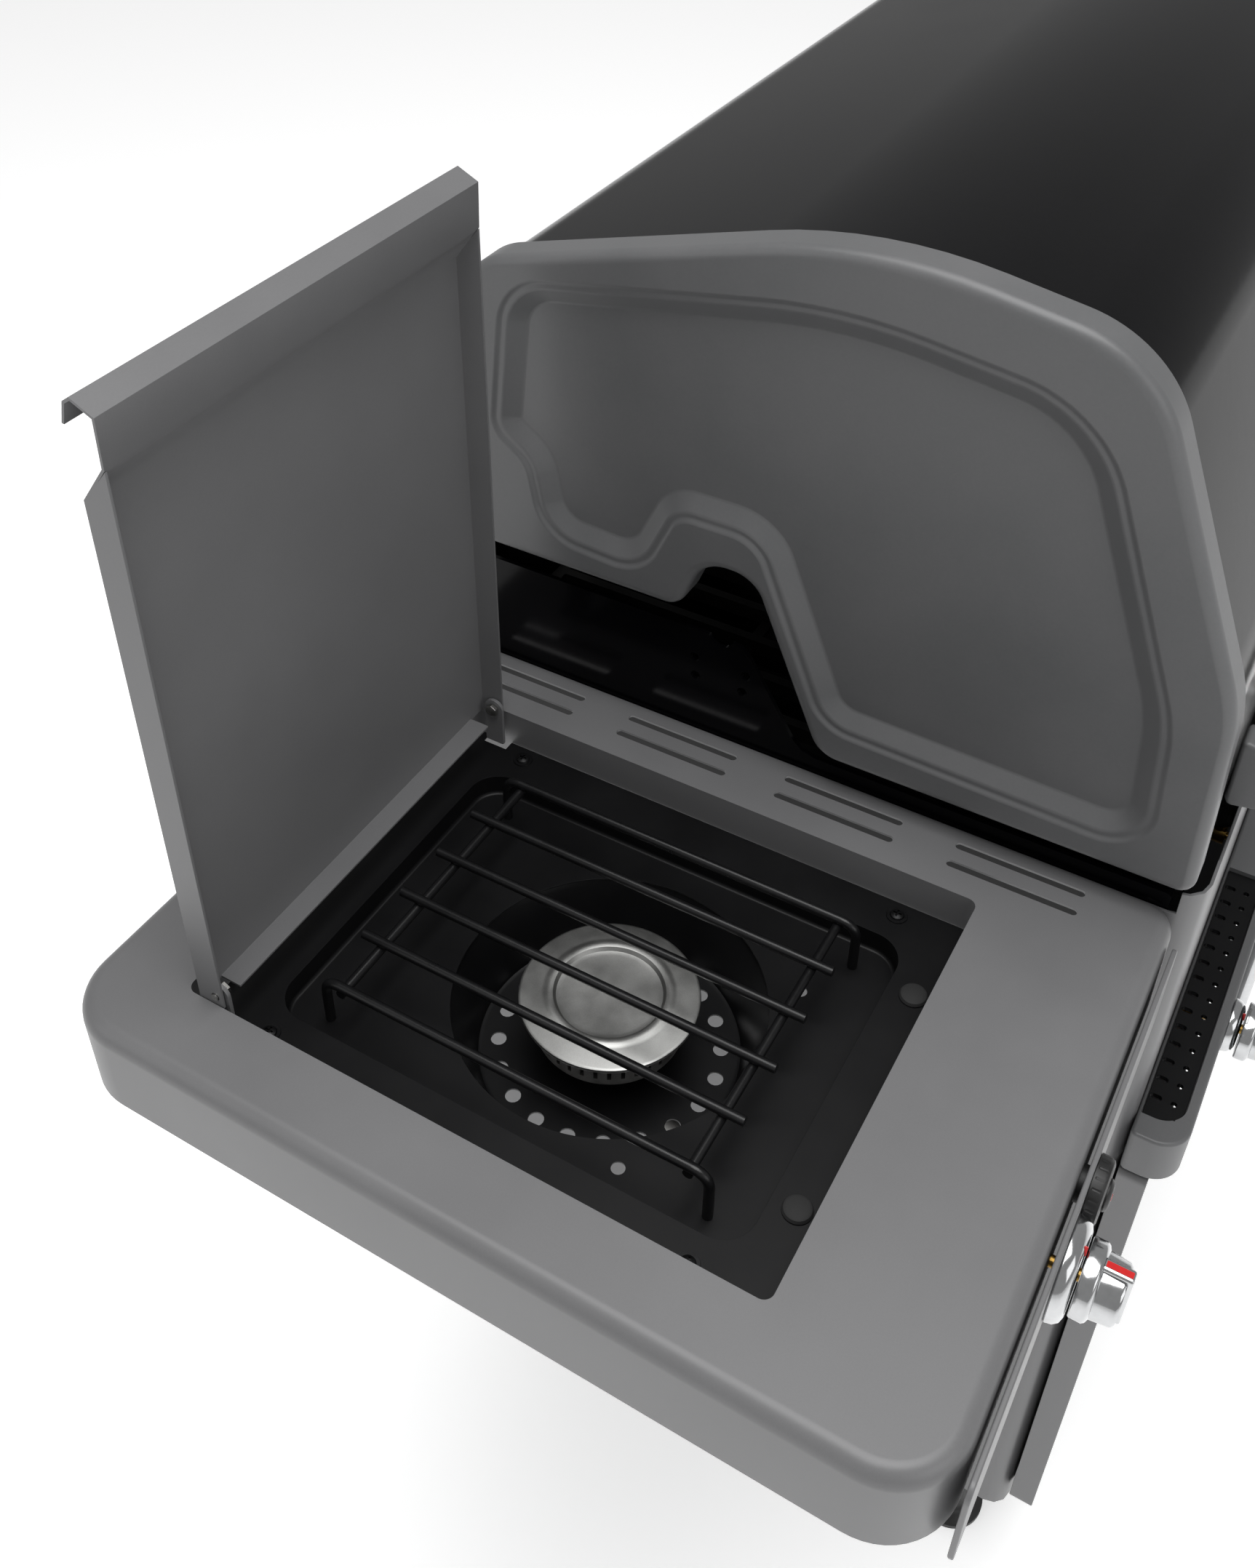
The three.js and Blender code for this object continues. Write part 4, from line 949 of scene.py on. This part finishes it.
# The front ledge with its two perforated inserts
ledgeValues = {
    "half": 330, "front": -300, "rear": -264.3, "top": -209, "bottom": -249, "corner": 22,
    "insertOuter": 311, "insertInner": 55, "bar": 7, "thickness": 3.5, "seat": 3, "gap": 0.7, "middle": 52,
    "step": 0.08, "holes": 14, "margin": 11, "slotHalf": 2.4, "slotFront": -276, "slotRear": -268,
    "pinRow": -284, "pin": 2.2, "stem": 4.3,
}


def insertPlan(side, margin):
    g = ledgeValues
    outer, inner = side * (g["insertOuter"] - margin), side * (g["insertInner"] + margin)
    front, rear = g["front"] + g["bar"] + margin, g["rear"] - 2 - margin
    return [[outer, rear, 1], [outer, front, g["corner"] - 4], [inner, front, 2], [inner, rear, 1]]


def buildLedge():
    g = ledgeValues
    half, front, rear, top, bottom = g["half"], g["front"], g["rear"], g["top"], g["bottom"]
    corner, step, wall = g["corner"], g["step"], g["seat"]
    plan = [[-half, rear, 4], [-half, front, corner], [half, front, corner], [half, rear, 4]]
    ledge = slab("front_ledge", "z", plan, bottom, top, roundStart=1.5, roundEnd=2.5, rounding=4, step=step)
    for side in (-1, 1):
        floor = top - wall - g["thickness"] - 0.3
        cutBy(ledge, slab("seat", "z", insertPlan(side, 0), floor, top + 2, step=step))
        low, high = sorted((side * (g["insertOuter"] - 4), side * (g["insertInner"] + 4)))
        room = rectangle(low, high, front + g["bar"] + 5, rear - 4, 1)
        cutBy(ledge, slab("room", "z", room, bottom - 2, top))
    middle = rectangle(-g["middle"], g["middle"], front + wall, rear - wall, 1)
    cutBy(ledge, slab("middle", "z", middle, bottom - 2, top - wall))
    stems = [rodPiece("stem", "y", atShelf(x, 0, (top + bottom) / 2), g["stem"], front - 2, rear + 2)
             for x in knobValues["mainX"]]
    cutBy(ledge, joinedPiece(stems))
    complete(ledge, castPaintWithPaintedShade, "ledge_frame", angle=40)
    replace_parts(ledge, "ledge_frame")


def buildInsert(node, side):
    g = ledgeValues
    top = g["top"] - g["seat"]
    insert = slab("perforated_" + node, "z", insertPlan(side, g["gap"]), top - g["thickness"], top,
                  roundEnd=0.5, rounding=2, step=g["step"])
    run = g["insertOuter"] - g["insertInner"] - 2 * g["margin"]
    start = -g["insertOuter"] + g["margin"]
    holes = []
    for i in range(g["holes"]):
        x = (start + (i + 0.5) * run / g["holes"]) * -side
        plan = rectangle(x - g["slotHalf"], x + g["slotHalf"], g["slotFront"], g["slotRear"], 2.3)
        holes.append(slab("slot", "z", plan, top - 8, top + 3))
        holes.append(rodPiece("pin", "z", atShelf(x, g["pinRow"], 0), g["pin"], top - 8, top + 3,
                              edge=0.1, steps=20))
    cutBy(insert, joinedPiece(holes))
    complete(insert, trayEnamel, node, angle=40)
    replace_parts(insert, node)


buildLedge()
buildInsert("left_ledge_insert", -1)
buildInsert("right_ledge_insert", 1)
print("ledge built")

# Every other piece keeps its shape from the frame, with welded corners, softened edges and smooth faces

edgeWidths = {
    "base_pan": 0.6, "left_side_panel": 0.7, "right_side_panel": 0.7, "back_panel": 0.5,
    "left_door": 1.4, "right_door": 1.4, "left_door_handle": 0.5, "right_door_handle": 0.5, "axle": 0.5,
    "front_panel": 0.5, "gas_manifold": 0.4, "firebox": 0.9, "left_cooking_grate": 1.2,
    "right_cooking_grate": 1.2, "grease_tray": 0.35, "grease_cup": 0.3, "left_hinge_pin": 0.5,
    "right_hinge_pin": 0.5, "lid_handle_left_bracket": 0.8, "lid_handle_right_bracket": 0.8,
    "right_shelf": 0, "side_fascia": 0.8, "side_valve": 0.6, "burner_lid": 0.35,
    "burner_lid_left_pin": 0.3, "burner_lid_right_pin": 0.3,
}
slotMaterials = {
    "grey_paint": powderCoat, "cast_grey": castPaintWithPaintedShade, "gloss_black": glossEnamel, "black_enamel": trayEnamel,
    "cast_iron": castIron, "stainless": brushedSteel, "aluminium": castAluminium, "chrome": chromePlate,
    "brass": machinedBrass, "black_plastic": texturedPlastic, "rubber": tyreRubber,
}
ownMaterials = {"left_hinge_pin": blackSteel, "right_hinge_pin": blackSteel}


def refineNode(node):
    source = frame["nodes"][node]
    piece = bpy.data.objects.new(node + "_made", source.data.copy())
    bpy.context.scene.collection.objects.link(piece)
    piece.matrix_world = Matrix.Identity(4)
    selectOnly(piece)
    bpy.ops.object.mode_set(mode="EDIT")
    bpy.ops.mesh.select_all(action="SELECT")
    bpy.ops.mesh.remove_doubles(threshold=2e-6)
    bpy.ops.mesh.dissolve_limited(angle_limit=radians(0.5), use_dissolve_boundaries=False)
    bpy.ops.object.mode_set(mode="OBJECT")
    width = edgeWidths.get(node, 0.3)
    if width:
        softEdges(piece, width, angle=44)
    complete(piece, ownMaterials.get(node, slotMaterials[slotOf[node]]), node, angle=42)
    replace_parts(piece, node)
    return piece


taken = {name for piece in bpy.context.scene.objects for name in piece.get("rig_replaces", [])}
for node in frame["nodes"]:
    if node not in taken:
        refineNode(node)
print("remaining pieces refined")

# Floor, light and camera

selectOnly()
bpy.ops.mesh.primitive_plane_add(size=30, location=(0, 0, 0))
floor = bpy.context.object
floor.name = "floor"
floorMaterial = bpy.data.materials.new("pale studio floor")
floorMaterial.use_nodes = True
floorSockets = floorMaterial.node_tree.nodes["Principled BSDF"].inputs
floorSockets["Base Color"].default_value = linear("#fbfbfb")
floorSockets["Roughness"].default_value = 0.9
floorSockets["Emission Color"].default_value = linear("#ffffff")
floorSockets["Emission Strength"].default_value = 0.43
floor.data.materials.append(floorMaterial)

lightValues = {
    "overhead": {"place": (-0.6, -0.2, 4.2), "aim": (-0.4, 0, 0.8), "size": (2.6, 2.6), "power": 114},
    "front": {"place": (-1.5, -3.4, 2.6), "aim": (-0.3, 0, 0.9), "size": (2.4, 2.0), "power": 22},
    "rear": {"place": (-3.0, 2.4, 2.8), "aim": (-0.5, 0, 0.9), "size": (2.0, 2.4), "power": 12},
}
for name, values in lightValues.items():
    data = bpy.data.lights.new(name, "AREA")
    data.shape = "RECTANGLE"
    data.size, data.size_y = values["size"]
    data.energy = values["power"]
    lamp = bpy.data.objects.new(name, data)
    bpy.context.scene.collection.objects.link(lamp)
    lamp.location = values["place"]
    towards = Vector(values["aim"]) - Vector(values["place"])
    lamp.rotation_euler = towards.to_track_quat("-Z", "Y").to_euler()

world = bpy.data.worlds.new("soft studio")
bpy.context.scene.world = world
world.use_nodes = True
world.node_tree.nodes["Background"].inputs["Color"].default_value = linear("#ffffff")
world.node_tree.nodes["Background"].inputs["Strength"].default_value = 0.36

cameraValues = {"place": (-1.04496, -0.2477, 1.6), "lens": 45.48, "shift": (0.02212, -0.1704)}
right = Vector((0.50758, -0.8616, -0.00126))
forward = Vector((0.69107, 0.40799, -0.59664))
up = right.cross(forward)
cameraData = bpy.data.cameras.new("camera")
cameraData.sensor_fit = "HORIZONTAL"
cameraData.sensor_width = 36
cameraData.lens = cameraValues["lens"]
cameraData.shift_x, cameraData.shift_y = cameraValues["shift"]
cameraData.clip_start = 0.02
camera = bpy.data.objects.new("camera", cameraData)
bpy.context.scene.collection.objects.link(camera)
axesMatrix = Matrix((right, up, -forward)).transposed().to_4x4()
camera.matrix_world = Matrix.Translation(cameraValues["place"]) @ axesMatrix
bpy.context.scene.camera = camera
bpy.context.scene.view_settings.view_transform = "Standard"
print("stage set")
